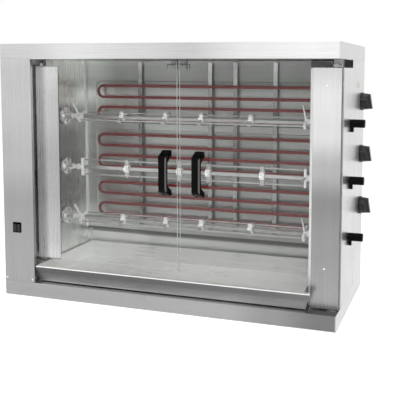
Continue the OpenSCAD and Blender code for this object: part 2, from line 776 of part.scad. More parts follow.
module gear_motor() color(black) at_motor() {
    difference() {
        box([x_left + sheet + 3, -32, -36], [x_web, 32, 36]);
        rod_x(x_web - 25, x_web + past, motor_shaft_r + run);
    }
    translate([motor_x, 0, 36]) cylinder(h = 88, r = 20);
    translate([motor_x, 0, 124]) cylinder(h = 10, r = 12);
}

module motor_pinion() color(bright) at_motor() {
    gear(pinion_teeth, 90 + 180 / pinion_teeth);
    rod_x(x_web - 22, x_gear + gear_t + 4, motor_shaft_r);
}

// ---------------------------------------------------------------- heaters

// One hairpin: two runs along X and a round bend at the left
module hairpin(z) translate([0, y_tube, z]) {
    for (s = [-1, 1]) translate([0, 0, s * hairpin_w / 2])
        rod_x(x_bend, x_chamber_r + tube_tail, tube_d / 2);
    translate([x_bend, 0, 0]) rotate([90, 0, 0]) rotate(90) rotate_extrude(angle = 180)
        translate([hairpin_w / 2, 0]) circle(tube_d / 2);
}

module heater_bank(i) color(glow)
    for (s = [-1, 1]) hairpin(bank_z[i] + s * hairpin_pitch / 2);

// Upright straps behind the tubes, from under the lowest pressed panel to the ceiling, each with a
// half ring that cups every tube from behind
module heater_straps() color(steel) for (x = strap_x) translate([x, 0, 0]) {
    y0 = y_tube + tube_d / 2 + loose;
    z0 = bank_z[0] - emboss_h / 2 - strap_foot - 4;
    z1 = ceiling_z - strap_drop;
    difference() {
        union() {
            box([-strap_w / 2, y0, z0], [strap_w / 2, y0 + strap_t, z1]);
            for (z = [z0, z1 - strap_foot])
                box([-strap_w / 2, y0, z], [strap_w / 2, y_rear_wall, z + strap_foot]);
            for (z = bank_z, dz = tube_rows) translate([0, y_tube, z + dz]) difference() {
                rod_x(-hook_w / 2, hook_w / 2, tube_d / 2 + hook_t);
                box([-hook_w, -tube_d, -tube_d], [hook_w, 0, tube_d]);
            }
        }
        for (z = bank_z, dz = tube_rows) translate([0, y_tube, z + dz])
            rod_x(-strap_w, strap_w, tube_d / 2 + loose / 2);
    }
}

// Ceramic sleeve on each end of a hairpin, behind the chamber's right wall
module heater_terminals() color("linen") for (z = bank_z, dz = tube_rows)
    translate([0, y_tube, z + dz]) difference() {
        rod_x(x_chamber_r + sheet + 4, x_chamber_r + tube_tail + 6, tube_d / 2 + 3);
        rod_x(x_chamber_r, x_chamber_r + tube_tail + run, tube_d / 2 + run);
    }

// ---------------------------------------------------------------- drip tray

// Bath with a front wall that leans out, and a lip to pull it by; front wall and lip run past the
// bath's right end in front of the stile's foot
module drip_tray() color(bright) {
    y_foot = y_front + tray_lean;
    lip = [[y_front + tray_lip, tray_rim_z], [y_front, tray_rim_z],
        [y_front, tray_rim_z - lip_drop], [y_foot, tray_z]];
    bath = [[tray_rear - 3, tray_z], [tray_rear, tray_rim_z], [tray_rear + 4, tray_rim_z]];
    along_x(tray_l, tray_r) sheet_path(concat(lip, bath));
    difference() {
        along_x(tray_r - sheet, lip_r) sheet_path(lip);
        along_y(y_front - past, y_foot + tray_lip) polygon([[lip_r, tray_rim_z - lip_drop],
            [lip_r - 17, tray_z - past], [lip_r + past, tray_z - past]]);
    }
    for (x = [tray_l, tray_r - sheet]) along_x(x, x + sheet) polygon([[y_front, tray_rim_z - lip_drop],
        [y_front, tray_rim_z], [tray_rear, tray_rim_z], [tray_rear - 3, tray_z], [y_foot, tray_z]]);
    for (x = [tray_l - 2, tray_r]) box([x, y_front + tray_lip, tray_rim_z - 3],
        [x + 2, tray_rear, tray_rim_z]);
}

// ---------------------------------------------------------------- controls

module at_knob(i) translate([x_right, y_knob, knob_z[i]]) children();
module at_lamp() translate([x_right, y_lamp, lamp_z]) children();

// Control knob: a round foot, and a grip with a slanting face between two finger hollows
module knob(i) color(black) at_knob(i) {
    difference() {
        union() {
            rod_x(grip_gap, knob_foot, knob_d / 2);
            translate([knob_foot, 0, 0]) rotate([0, 90, 0])
                cylinder(h = knob_l - knob_foot, r1 = knob_d / 2 - 2, r2 = knob_d / 2 - 5);
        }
        translate([knob_l, 0, -knob_d / 2]) rotate([0, -knob_slant, 0])
            box([0, -knob_d, -knob_d], [knob_d, knob_d, 2 * knob_d]);
        for (s = [-1, 1]) translate([knob_l + 4, s * (knob_d / 2 + 2), 0])
            rotate([0, -knob_slant, 0]) cylinder(h = 2 * knob_d, r = 22, center = true);
    }
    rod_x(-18, knob_foot, knob_shaft_r);
}

module energy_regulators() color(black) for (i = [0:2]) at_knob(i) difference() {
    box([-40, -23, -25], [-sheet, 23, 25]);
    rod_x(-19, past, knob_shaft_r + run);
}

module pilot_lamp() color("ivory") at_lamp() {
    rod_x(-20, 0, lamp_r - loose);
    rod_x(0, 2, lamp_r + 2);
    translate([2, 0, 0]) rotate([0, 90, 0]) cylinder(h = 2.5, r1 = lamp_r, r2 = lamp_r - 3);
}

// Release pin: grip with a thumb tab, pin through both bushes up to the skewer's stub, and the
// collar that its spring pushes. Drawn back, it makes room for the skewer to leave its socket
module release_pin(i) color(black) at_spit(i) {
    rod_x(x_stub + gap, x_right + 8, pin_d / 2);
    rod_x(collar_x, collar_x + 4, pin_d / 2 + bush_wall);
    rod_x(x_right + grip_gap, x_right + grip_gap + grip_l, grip_d / 2);
    box([x_right + grip_gap, -6, -grip_d / 2 - 13.5], [x_right + grip_gap + 10, 6, 0]);
}

// Coil spring round a release pin, between its collar and the outer bush
spring_turns = 8;
spring_steps = 8;
spring_sides = 6;
wire_r = 1;
coil_r = pin_d / 2 + 2.2;
spring_x0 = collar_x + 4 + wire_r + gap;
spring_x1 = x_right - sheet - bush_l - wire_r - gap;
function spring_axis(k) =
    let (a = k * 360 / spring_steps)
    [spring_x0 + (spring_x1 - spring_x0) * k / (spring_turns * spring_steps),
        coil_r * cos(a), coil_r * sin(a)];
module release_spring(i) color(steel) at_spit(i) {
    n = spring_turns * spring_steps;
    points = [for (k = [0:n]) for (s = [0:spring_sides - 1])
        let (a = k * 360 / spring_steps, b = s * 360 / spring_sides, out = wire_r * cos(b))
        spring_axis(k) + [wire_r * sin(b), out * cos(a), out * sin(a)]];
    sides = [for (k = [0:n - 1]) for (s = [0:spring_sides - 1])
        let (t = (s + 1) % spring_sides, p = k * spring_sides, q = p + spring_sides)
        each [[p + s, q + t, p + t], [p + s, q + s, q + t]]];
    first = [for (s = [0:spring_sides - 1]) s];
    last = [for (s = [spring_sides - 1:-1:0]) n * spring_sides + s];
    polyhedron(points, concat(sides, [first, last]));
}
spring_gap = min([for (k = [0:spring_steps - 1]) for (j = [spring_steps - 1:spring_steps + 1])
    norm(spring_axis(k + j) - spring_axis(k))]) - 2 * wire_r;
echo(least_gap_between_spring_coils = spring_gap);

module at_switch() translate([x_switch, 0, switch_z]) children();

// Switch body with a pocket and two trunnion holes for each rocker
module switch_frame() color(black) at_switch() difference() {
    union() {
        along_y(y_front - 2, y_front) round_rect(switch_w, switch_h, 2);
        along_y(y_front, y_front + switch_d)
            square([switch_w - 2 * switch_rim, switch_h - 2 * switch_rim], center = true);
    }
    for (x = rocker_x) translate([x, 0, 0]) {
        box([-rocker_w / 2 - rocker_side, y_front - 3, -pocket_h],
            [rocker_w / 2 + rocker_side, y_rocker + 8, pocket_h]);
        translate([0, y_rocker, 0])
            rod_x(-rocker_w / 2 - trunnion_l - loose, rocker_w / 2 + trunnion_l + loose, trunnion_r + run);
    }
}

module switch_rocker(k) color(black) at_switch() translate([rocker_x[k], y_rocker, 0]) {
    h = rocker_h / 2;
    rotate([rocker_tilt, 0, 0]) along_x(-rocker_w / 2, rocker_w / 2)
        polygon([[-8.5, 0.5 - h], [-7, 0], [-8.5, h - 0.5], [2, h - 2], [5, 4], [5, -4], [2, 2 - h]]);
    rod_x(-rocker_w / 2 - trunnion_l, rocker_w / 2 + trunnion_l, trunnion_r);
}

// ---------------------------------------------------------------- nodes

base_bottom();
base_pan();
top_cover();
left_side_panel();
column_front_panel();
chamber_left_wall();
chamber_right_wall();
chamber_rear_wall();
chamber_ceiling();
rear_panel();
right_side_panel();
control_panel();
tray_runners();
hinge_brackets();
door_magnets();
panel_screws();
cable_gland();
switch_frame();
pilot_lamp();
energy_regulators();
heater_straps();
heater_terminals();
spit_bushes();
gear_case();
gear_motor();
on_left_door() stile(left_stile_z);  // left_door_stile
on_left_door() pane(left_handle_x);  // left_door_pane
on_left_door() handle(left_handle_x);  // left_door_handle
on_left_door() door_fittings();  // left_door_fittings
on_left_door() door_screws(left_handle_x);  // left_door_screws
on_right_door() stile(right_stile_z);  // right_door_stile
on_right_door() pane(right_handle_x);  // right_door_pane
on_right_door() handle(right_handle_x);  // right_door_handle
on_right_door() door_fittings();  // right_door_fittings
on_right_door() door_screws(right_handle_x);  // right_door_screws
drip_tray();
motor_pinion();
switch_rocker(0);  // switch_rocker_left
switch_rocker(1);  // switch_rocker_right
for (i = [0:2]) {
    heater_bank(i);
    spit_drive(i);
    skewer(i);
    skewer_clamps(i);
    release_pin(i);
    release_spring(i);
    knob(i);
}
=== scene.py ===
"""Skewer grill: finishes, fastenings, dial marks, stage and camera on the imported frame."""
import json
import math

import bmesh
import bpy
from mathutils import Matrix, Vector


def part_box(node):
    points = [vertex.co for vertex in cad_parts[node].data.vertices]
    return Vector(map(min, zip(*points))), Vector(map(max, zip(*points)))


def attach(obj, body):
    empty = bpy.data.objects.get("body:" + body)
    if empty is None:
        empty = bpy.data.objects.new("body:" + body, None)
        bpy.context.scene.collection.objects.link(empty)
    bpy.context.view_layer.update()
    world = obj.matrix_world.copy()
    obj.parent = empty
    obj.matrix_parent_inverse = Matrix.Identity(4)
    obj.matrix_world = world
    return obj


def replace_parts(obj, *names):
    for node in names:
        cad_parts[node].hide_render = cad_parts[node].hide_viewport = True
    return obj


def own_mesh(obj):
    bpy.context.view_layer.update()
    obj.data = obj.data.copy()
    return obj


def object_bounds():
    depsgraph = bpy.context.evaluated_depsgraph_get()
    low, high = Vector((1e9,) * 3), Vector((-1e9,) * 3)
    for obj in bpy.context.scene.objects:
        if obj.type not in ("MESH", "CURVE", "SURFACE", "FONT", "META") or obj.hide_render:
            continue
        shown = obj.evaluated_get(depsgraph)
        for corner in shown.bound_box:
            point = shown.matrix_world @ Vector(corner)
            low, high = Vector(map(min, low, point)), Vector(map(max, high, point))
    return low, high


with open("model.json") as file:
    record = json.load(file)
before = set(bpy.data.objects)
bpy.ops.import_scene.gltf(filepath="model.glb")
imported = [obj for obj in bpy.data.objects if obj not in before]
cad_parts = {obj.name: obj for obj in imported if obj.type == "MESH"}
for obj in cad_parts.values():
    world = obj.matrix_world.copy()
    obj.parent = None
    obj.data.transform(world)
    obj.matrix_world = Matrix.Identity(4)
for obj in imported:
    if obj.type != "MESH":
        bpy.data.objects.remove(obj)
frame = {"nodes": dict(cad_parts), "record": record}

bl_info = {
    "name": "Skewer Grill",
    "version": (1, 0, 0),
    "blender": (4, 5, 0),
    "location": "3D View > Sidebar > Skewer Grill",
    "description": "Dresses the packed skewer grill with its finishes, fastenings and stage",
    "category": "Object",
}

CAD_LOW, CAD_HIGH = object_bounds()
NODES = frame["nodes"]
BODY_OF = {node: body for body, nodes in frame["record"]["behaviour"]["bodies"].items()
           for node in nodes}
FRONT, REAR, RIGHT = Vector((0, -1, 0)), Vector((0, 1, 0)), Vector((1, 0, 0))

# Values of a noise between which a finish swings, and nearer ones for a harder swing
NOISE_RANGE, NOISE_MIDDLE = (0.3, 0.7), (0.35, 0.65)

# A tone's brightness is held halved in its ramp and doubled again behind it
RAMP_SCALE = 2.0

# Corners closer than WELD are merged, and faces that turn less than FLAT become one
WELD, FLAT = 2e-6, math.radians(0.3)

# Edges that turn more than this stay sharp: on copies of CAD nodes, and on fastenings and print
SHARP, SHARP_SMALL = math.radians(60), math.radians(35)

# Parts of a face's normal along an axis: it faces that way squarely, mostly, or leans that way
SQUARE, MOSTLY, LEANING = 0.9, 0.5, 0.4


# ------------------------------------------------------------------ shader building

def add(tree, kind, settings=None, sockets=None):
    """Adds a node, sets its properties, and sets or joins the named or numbered inputs."""
    node = tree.nodes.new(kind)
    for name, value in (settings or {}).items():
        setattr(node, name, value)
    for key, value in (sockets or {}).items():
        if isinstance(value, bpy.types.NodeSocket):
            tree.links.new(value, node.inputs[key])
        else:
            node.inputs[key].default_value = value
    return node


def blank_material(name):
    """New material with an empty node tree and its output."""
    material = bpy.data.materials.new(name)
    material.use_nodes = True
    tree = material.node_tree
    tree.nodes.clear()
    return material, tree, add(tree, "ShaderNodeOutputMaterial")


def object_coords(tree, scale=(1, 1, 1), turn=(0, 0, 0)):
    """Object coordinates, stretched by scale, which is in repeats per metre."""
    coords = add(tree, "ShaderNodeTexCoord").outputs["Object"]
    return add(tree, "ShaderNodeMapping", None,
               {"Vector": coords, "Scale": scale, "Rotation": turn}).outputs["Vector"]


def noise(tree, vector, scale=1.0, detail=3.0, roughness=0.6):
    """Noise texture on a vector."""
    return add(tree, "ShaderNodeTexNoise", None, {
        "Vector": vector, "Scale": scale, "Detail": detail, "Roughness": roughness}).outputs["Fac"]


def span(tree, value, low, high, to_low, to_high):
    """Carries a value from one range over to another."""
    return add(tree, "ShaderNodeMapRange", None, {
        "Value": value, "From Min": low, "From Max": high,
        "To Min": to_low, "To Max": to_high}).outputs["Result"]


def maths(tree, operation, *values):
    """Result of one operation on numbers or sockets."""
    return add(tree, "ShaderNodeMath", {"operation": operation}, dict(enumerate(values))).outputs[0]


def tinted(tree, colour, factor):
    """A colour made lighter or darker by a factor socket."""
    return add(tree, "ShaderNodeVectorMath", {"operation": "SCALE"},
               {0: colour[:3], "Scale": factor}).outputs["Vector"]


def roughened(tree, height, strength, depth=0.0002):
    """Normal of a surface with this height texture, which is depth metres deep."""
    return add(tree, "ShaderNodeBump", None, {
        "Height": height, "Strength": strength, "Distance": depth}).outputs["Normal"]


def blended(tree, factor, first, second):
    """A mix of two colours, by a factor socket."""
    mixed = add(tree, "ShaderNodeMix", {"data_type": "RGBA"}, {0: factor})
    for index, colour in ((6, first), (7, second)):
        if isinstance(colour, bpy.types.NodeSocket):
            tree.links.new(colour, mixed.inputs[index])
        else:
            mixed.inputs[index].default_value = (*colour[:3], 1)
    return mixed.outputs[2]


def shade(tree, out, **sockets):
    """Principled shader with sockets named in lower case, joined to the output."""
    names = {name.replace("_", " ").title().replace("Ior", "IOR"): v for name, v in sockets.items()}
    shader = add(tree, "ShaderNodeBsdfPrincipled", None, names)
    tree.links.new(shader.outputs[0], out.inputs["Surface"])
    return shader


# ------------------------------------------------------------------ finishes

def painted_light_ramp(tree, level, axis, stops):
    """A brightness that also follows a ramp of painted reflection and shade along an axis, through
    (place in metres, brightness).
    """
    place = add(tree, "ShaderNodeSeparateXYZ", None, {0: object_coords(tree)}).outputs[axis]
    first, last = stops[0][0], stops[-1][0]
    ramp = add(tree, "ShaderNodeValToRGB", None, {0: span(tree, place, first, last, 0, 1)})
    ramp.color_ramp.interpolation = "EASE"
    while len(ramp.color_ramp.elements) < len(stops):
        ramp.color_ramp.elements.new(0.5)
    for element, (where, bright) in zip(ramp.color_ramp.elements, stops):
        held = bright / RAMP_SCALE
        element.position = (where - first) / (last - first)
        element.color = (held, held, held, 1)
    return maths(tree, "MULTIPLY", level, maths(tree, "MULTIPLY", ramp.outputs["Color"], RAMP_SCALE))


def sheet_steel(name, colour, grain, roughness=0.3, tone=(), contrast=0.1, relief=0.12, metal=1.0):
    """Brushed stainless sheet. grain is repeats per metre along X, Y and Z, low along the strokes.
    tone lists painted reflection and shade on the sheet: (axis, [(place in metres, brightness),
    ...]). metal below 1 stands for the scattered light of a dull sheet."""
    material, tree, out = blank_material(name)
    strokes = noise(tree, object_coords(tree, grain), detail=4)
    bands = noise(tree, object_coords(tree, [g * 0.07 for g in grain]), detail=2)
    hands = noise(tree, object_coords(tree), scale=5, detail=4)
    wide = 0.6 * contrast
    level = maths(tree, "MULTIPLY", span(tree, strokes, *NOISE_RANGE, 1 - contrast, 1 + contrast),
                  span(tree, bands, *NOISE_RANGE, 1 - wide, 1 + wide))
    level = maths(tree, "MULTIPLY", level, span(tree, hands, *NOISE_RANGE, 0.97, 1.03))
    for axis, stops in tone:
        level = painted_light_ramp(tree, level, axis, stops)
    polish = span(tree, strokes, *NOISE_RANGE, roughness - 0.05, roughness + 0.05)
    shade(tree, out, base_color=tinted(tree, colour, level), metallic=metal,
          normal=roughened(tree, strokes, relief),
          roughness=maths(tree, "ADD", polish, span(tree, hands, *NOISE_MIDDLE, -0.03, 0.04)))
    return material


def turned_steel(name, colour, roughness=0.16, grain=(20, 900, 900), metal=1.0):
    """Polished bar or machined steel with faint turning marks."""
    material, tree, out = blank_material(name)
    marks = noise(tree, object_coords(tree, grain), detail=3)
    wear = noise(tree, object_coords(tree), scale=45, detail=4)
    polish = span(tree, marks, *NOISE_RANGE, roughness - 0.05, roughness + 0.06)
    shade(tree, out, metallic=metal, normal=roughened(tree, marks, 0.08, 0.0001),
          base_color=tinted(tree, colour, span(tree, wear, *NOISE_RANGE, 0.88, 1.1)),
          roughness=maths(tree, "ADD", polish, span(tree, wear, *NOISE_MIDDLE, -0.02, 0.05)))
    return material


def hot_tube(name, core, edge, glow):
    """Sheathed heater tube: dark red along its front, with a painted sheen that makes it paler where
    its top and underside turn away, oxide mottling and a faint painted glow."""
    material, tree, out = blank_material(name)
    normal = add(tree, "ShaderNodeTexCoord").outputs["Normal"]
    up = maths(tree, "ABSOLUTE", add(tree, "ShaderNodeSeparateXYZ", None, {0: normal}).outputs["Z"])
    oxide = noise(tree, object_coords(tree, (60, 260, 260)), detail=5)
    mottled = maths(tree, "ADD", up, span(tree, oxide, *NOISE_RANGE, -0.08, 0.08))
    dark_until, pale_from = 0.6, 1.05
    colour = blended(tree, span(tree, mottled, dark_until, pale_from, 0, 1), core, edge)
    shade(tree, out, base_color=colour, emission_color=colour, emission_strength=glow,
          normal=roughened(tree, oxide, 0.2),
          roughness=span(tree, oxide, *NOISE_RANGE, 0.38, 0.55))
    return material


def ground_edge(name, colour):
    """Ground and seamed edge of a glass pane: pale, frosted and slightly chipped."""
    material, tree, out = blank_material(name)
    frost = noise(tree, object_coords(tree), scale=900, detail=4)
    shade(tree, out, base_color=tinted(tree, colour, span(tree, frost, *NOISE_RANGE, 0.85, 1.1)),
          roughness=span(tree, frost, *NOISE_RANGE, 0.3, 0.5), transmission_weight=0.2,
          normal=roughened(tree, frost, 0.3))
    return material


def moulded_plastic(name, colour, roughness=0.4, pebble=0.25, coat=0.0, gloss=0.5):
    """Moulded heat-proof plastic with a fine pebbled skin and handling shine."""
    material, tree, out = blank_material(name)
    skin = noise(tree, object_coords(tree), scale=1400, detail=2)
    shine = noise(tree, object_coords(tree), scale=35, detail=3)
    shade(tree, out, base_color=tinted(tree, colour, span(tree, shine, *NOISE_RANGE, 0.85, 1.2)),
          roughness=span(tree, shine, *NOISE_MIDDLE, roughness - 0.07, roughness + 0.07),
          normal=roughened(tree, skin, pebble),
          coat_weight=coat, coat_roughness=0.08, specular_ior_level=gloss)
    return material


def cast_surface(name, colour, roughness, metallic, grain, relief=0.3):
    """Enamel, ceramic, ferrite, print or cast metal: an even grain, mottled colour and relief."""
    material, tree, out = blank_material(name)
    fine = noise(tree, object_coords(tree), scale=grain, detail=5)
    cloud = noise(tree, object_coords(tree), scale=grain / 12, detail=3)
    shade(tree, out, metallic=metallic, normal=roughened(tree, fine, relief, 0.0003),
          base_color=tinted(tree, colour, span(tree, cloud, *NOISE_RANGE, 0.86, 1.12)),
          roughness=span(tree, fine, *NOISE_RANGE, roughness - 0.08, roughness + 0.1))
    return material


def pane_glass(name, colour):
    """Clear tempered glass with faint wiping marks, which lets lamps through."""
    material, tree, out = blank_material(name)
    wipes = noise(tree, object_coords(tree, (14, 14, 3), (0, 0.5, 0)), detail=4)
    glass = shade(tree, out, base_color=(*colour[:3], 1), transmission_weight=1.0, ior=1.3,
                  roughness=span(tree, wipes, 0.45, 0.8, 0.0, 0.035))
    clear = add(tree, "ShaderNodeBsdfTransparent", None, {"Color": (0.92, 0.94, 0.93, 1)})
    lamps = add(tree, "ShaderNodeLightPath").outputs["Is Shadow Ray"]
    both = add(tree, "ShaderNodeMixShader", None, {
        0: lamps, 1: glass.outputs[0], 2: clear.outputs[0]})
    tree.links.new(both.outputs[0], out.inputs["Surface"])
    return material


def lens_plastic(name, colour, glow):
    """Ribbed, slightly milky lamp lens."""
    material, tree, out = blank_material(name)
    ribs = add(tree, "ShaderNodeTexWave", {"wave_type": "RINGS", "rings_direction": "X"}, {
        "Vector": object_coords(tree), "Scale": 220.0}).outputs["Fac"]
    milk = noise(tree, object_coords(tree), scale=90)
    tone = tinted(tree, colour, span(tree, milk, *NOISE_RANGE, 0.9, 1.05))
    shade(tree, out, base_color=tone, emission_color=tone, emission_strength=glow,
          transmission_weight=0.35, normal=roughened(tree, ribs, 0.3, 0.0003),
          roughness=span(tree, milk, *NOISE_RANGE, 0.15, 0.25))
    return material


# ------------------------------------------------------------------ mesh building

def paint(material, *nodes):
    """Gives CAD nodes a finish."""
    for name in nodes:
        slots = NODES[name].material_slots
        for slot in slots:
            slot.material = material
        if not slots:
            NODES[name].data.materials.append(material)


def piece(name, mesh, material, body):
    """Object at the origin with this mesh, that rides on a body."""
    made = bpy.data.objects.new(name, mesh)
    bpy.context.scene.collection.objects.link(made)
    if material is not None:
        mesh.materials.clear()
        mesh.materials.append(material)
    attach(made, body)
    return made


def middle_of(node):
    """Middle of a CAD node's box."""
    low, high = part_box(node)
    return (low + high) / 2


def merged_copy(node):
    """A CAD node's mesh as one closed bmesh, with flat regions as single faces."""
    shell = bmesh.new()
    shell.from_mesh(NODES[node].data)
    bmesh.ops.remove_doubles(shell, verts=shell.verts, dist=WELD)
    bmesh.ops.dissolve_limit(shell, angle_limit=FLAT, verts=shell.verts, edges=shell.edges)
    return shell


def smooth_mesh(name, shell):
    """Turns a bmesh into a mesh that shades smooth apart from its sharp edges."""
    mesh = bpy.data.meshes.new(name)
    shell.to_mesh(mesh)
    shell.free()
    mesh.shade_smooth()
    mesh.set_sharp_from_angle(angle=SHARP)
    return mesh


def folded(node, material, radius, segments=2, least=25, parts=()):
    """Copy of a CAD node that stands for it, with the edges that turn more than least degrees
    rounded by radius. parts lists other finishes, each with a test on the middle and the normal of
    a face."""
    shell = merged_copy(node)
    edges = [e for e in shell.edges if len(e.link_faces) == 2
             and e.calc_face_angle(0) > math.radians(least)]
    bmesh.ops.bevel(shell, geom=edges, offset=radius, offset_type="OFFSET", segments=segments,
                    profile=0.5, affect="EDGES", clamp_overlap=False, loop_slide=True)
    bmesh.ops.triangulate(shell, faces=[f for f in shell.faces if len(f.verts) > 4])
    name = node + "_folded"
    mesh = flat_faces_kept(smooth_mesh(name, shell))
    made = piece(name, mesh, material, BODY_OF[node])
    for index, (finish, chosen) in enumerate(parts, 1):
        made.data.materials.append(finish)
        for face in made.data.polygons:
            if chosen(face.center, face.normal):
                face.material_index = index
    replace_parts(made, node)


def copied(node, material):
    """Copy of a CAD node that stands for it."""
    name = node + "_copy"
    mesh = smooth_mesh(name, merged_copy(node))
    made = piece(name, mesh, material, BODY_OF[node])
    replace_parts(made, node)
    return made


def flat_faces_kept(mesh):
    """The mesh with normals weighted by face area, so that only the rounded edges shade round."""
    holder = bpy.data.objects.new("weighting", mesh)
    bpy.context.scene.collection.objects.link(holder)
    weighting = holder.modifiers.new("weighting", "WEIGHTED_NORMAL")
    weighting.weight, weighting.keep_sharp = 100, True
    depsgraph = bpy.context.evaluated_depsgraph_get()
    made = bpy.data.meshes.new_from_object(holder.evaluated_get(depsgraph),
                                           preserve_all_data_layers=True, depsgraph=depsgraph)
    bpy.data.objects.remove(holder)
    return made


def loose_parts(node):
    """Lowest and highest corner of each separate solid of a CAD node."""
    shell = merged_copy(node)
    left, boxes = set(shell.verts), []
    while left:
        ring, group = [left.pop()], []
        while ring:
            vert = ring.pop()
            group.append(vert.co.copy())
            for edge in vert.link_edges:
                other = edge.other_vert(vert)
                if other in left:
                    left.remove(other)
                    ring.append(other)
        boxes.append((Vector(min(p[k] for p in group) for k in range(3)),
                      Vector(max(p[k] for p in group) for k in range(3))))
    shell.free()
    return boxes


# ------------------------------------------------------------------ Geometry Nodes

def geometry_tree(name, inputs):
    """Node group with a geometry input and output and the named sizes."""
    group = bpy.data.node_groups.new(name, "GeometryNodeTree")
    group.interface.new_socket("Geometry", in_out="INPUT", socket_type="NodeSocketGeometry")
    for label, (kind, value) in inputs.items():
        made = group.interface.new_socket(label, in_out="INPUT", socket_type="NodeSocket" + kind)
        if value is not None:
            made.default_value = value
    group.interface.new_socket("Geometry", in_out="OUTPUT", socket_type="NodeSocketGeometry")
    return group, add(group, "NodeGroupInput").outputs, add(group, "NodeGroupOutput")


def move(tree, geometry, offset=(0, 0, 0), scale=(1, 1, 1)):
    """Geometry stretched by scale and then shifted by offset."""
    return add(tree, "GeometryNodeTransform", None, {
        "Geometry": geometry, "Translation": offset, "Scale": scale}).outputs["Geometry"]


def vector(tree, **parts):
    """Vector of the parts named X, Y and Z; one that isn't given is 0."""
    return add(tree, "ShaderNodeCombineXYZ", None, parts).outputs[0]


def cuboid(tree, x, y, z):
    """Box of these sizes round the origin."""
    return add(tree, "GeometryNodeMeshCube", None, {
        "Size": vector(tree, X=x, Y=y, Z=z)}).outputs["Mesh"]


def at_points(tree, given, shape, **turned):
    """The shape, once on each point that the tree is given."""
    points = add(tree, "GeometryNodeMeshToPoints", None, {"Mesh": given["Geometry"]}).outputs[0]
    return add(tree, "GeometryNodeInstanceOnPoints", None, {
        "Points": points, "Instance": shape, **turned}).outputs[0]


def facing_points(tree, given, shape):
    """The shape, once on each point, with its Z axis along the point's facing."""
    facing = add(tree, "GeometryNodeInputNamedAttribute", {"data_type": "FLOAT_VECTOR"},
                 {"Name": "facing"}).outputs["Attribute"]
    turn = add(tree, "FunctionNodeAlignRotationToVector", {"axis": "Z"}, {"Vector": facing})
    return at_points(tree, given, shape, Rotation=turn.outputs["Rotation"])


def finish_tree(tree, given, out, instances):
    """Ends a tree: realizes the instances and sets their finish."""
    solid = add(tree, "GeometryNodeRealizeInstances", None, {"Geometry": instances}).outputs[0]
    dressed = add(tree, "GeometryNodeSetMaterial", None, {
        "Geometry": solid, "Material": given["Finish"]}).outputs[0]
    tree.links.new(dressed, out.inputs[0])
    return tree


def cross_screw_tree():
    """Domed screws with a crossed recess, one at each point, turned to the point's facing."""
    tree, given, out = geometry_tree("cross_screws", {
        "Head radius": ("Float", 0.0035), "Head height": ("Float", 0.0022),
        "Shank radius": ("Float", 0.0018), "Shank length": ("Float", 0.004),
        "Finish": ("Material", None)})
    radius, height = given["Head radius"], given["Head height"]
    ball = add(tree, "GeometryNodeMeshUVSphere", None, {
        "Segments": 28, "Rings": 14, "Radius": radius}).outputs["Mesh"]
    dome = move(tree, ball, scale=vector(tree, X=1, Y=1, Z=maths(tree, "DIVIDE", height, radius)))
    under, long, thin = (maths(tree, "MULTIPLY", radius, part) for part in (3.0, 1.15, 0.26))
    cuts = [move(tree, cuboid(tree, under, under, under),
                 vector(tree, Z=maths(tree, "MULTIPLY", under, -0.5)))]
    for x, y in ((long, thin), (thin, long)):
        cuts.append(move(tree, cuboid(tree, x, y, height), vector(tree, Z=height)))
    head = add(tree, "GeometryNodeMeshBoolean", {"operation": "DIFFERENCE", "solver": "EXACT"},
               {"Mesh 1": dome})
    for cut in cuts:
        tree.links.new(cut, head.inputs["Mesh 2"])
    shank = add(tree, "GeometryNodeMeshCylinder", None, {
        "Vertices": 20, "Radius": given["Shank radius"], "Depth": given["Shank length"]})
    shank = move(tree, shank.outputs["Mesh"],
                 vector(tree, Z=maths(tree, "MULTIPLY", given["Shank length"], -0.5)))
    screw = add(tree, "GeometryNodeJoinGeometry")
    for part in (shank, head.outputs["Mesh"]):
        tree.links.new(part, screw.inputs[0])
    return finish_tree(tree, given, out, facing_points(tree, given, screw.outputs[0]))


def hex_nut_tree():
    """Six-sided nuts with a chamfered outer face, one at each point."""
    tree, given, out = geometry_tree("hex_nuts", {
        "Corner radius": ("Float", 0.004), "Height": ("Float", 0.003),
        "Finish": ("Material", None)})
    radius, height = given["Corner radius"], given["Height"]
    body = add(tree, "GeometryNodeMeshCylinder", None, {
        "Vertices": 6, "Radius": radius, "Depth": height}).outputs["Mesh"]
    body = move(tree, body, vector(tree, Z=maths(tree, "MULTIPLY", height, 0.5)))
    chamfer = add(tree, "GeometryNodeMeshCone", None, {
        "Vertices": 32, "Radius Top": maths(tree, "MULTIPLY", radius, 0.86),
        "Radius Bottom": maths(tree, "MULTIPLY", radius, 1.3), "Depth": height}).outputs["Mesh"]
    nut = add(tree, "GeometryNodeMeshBoolean", {"operation": "INTERSECT", "solver": "EXACT"})
    for part in (body, chamfer):
        tree.links.new(part, nut.inputs["Mesh 2"])
    return finish_tree(tree, given, out, facing_points(tree, given, nut.outputs["Mesh"]))


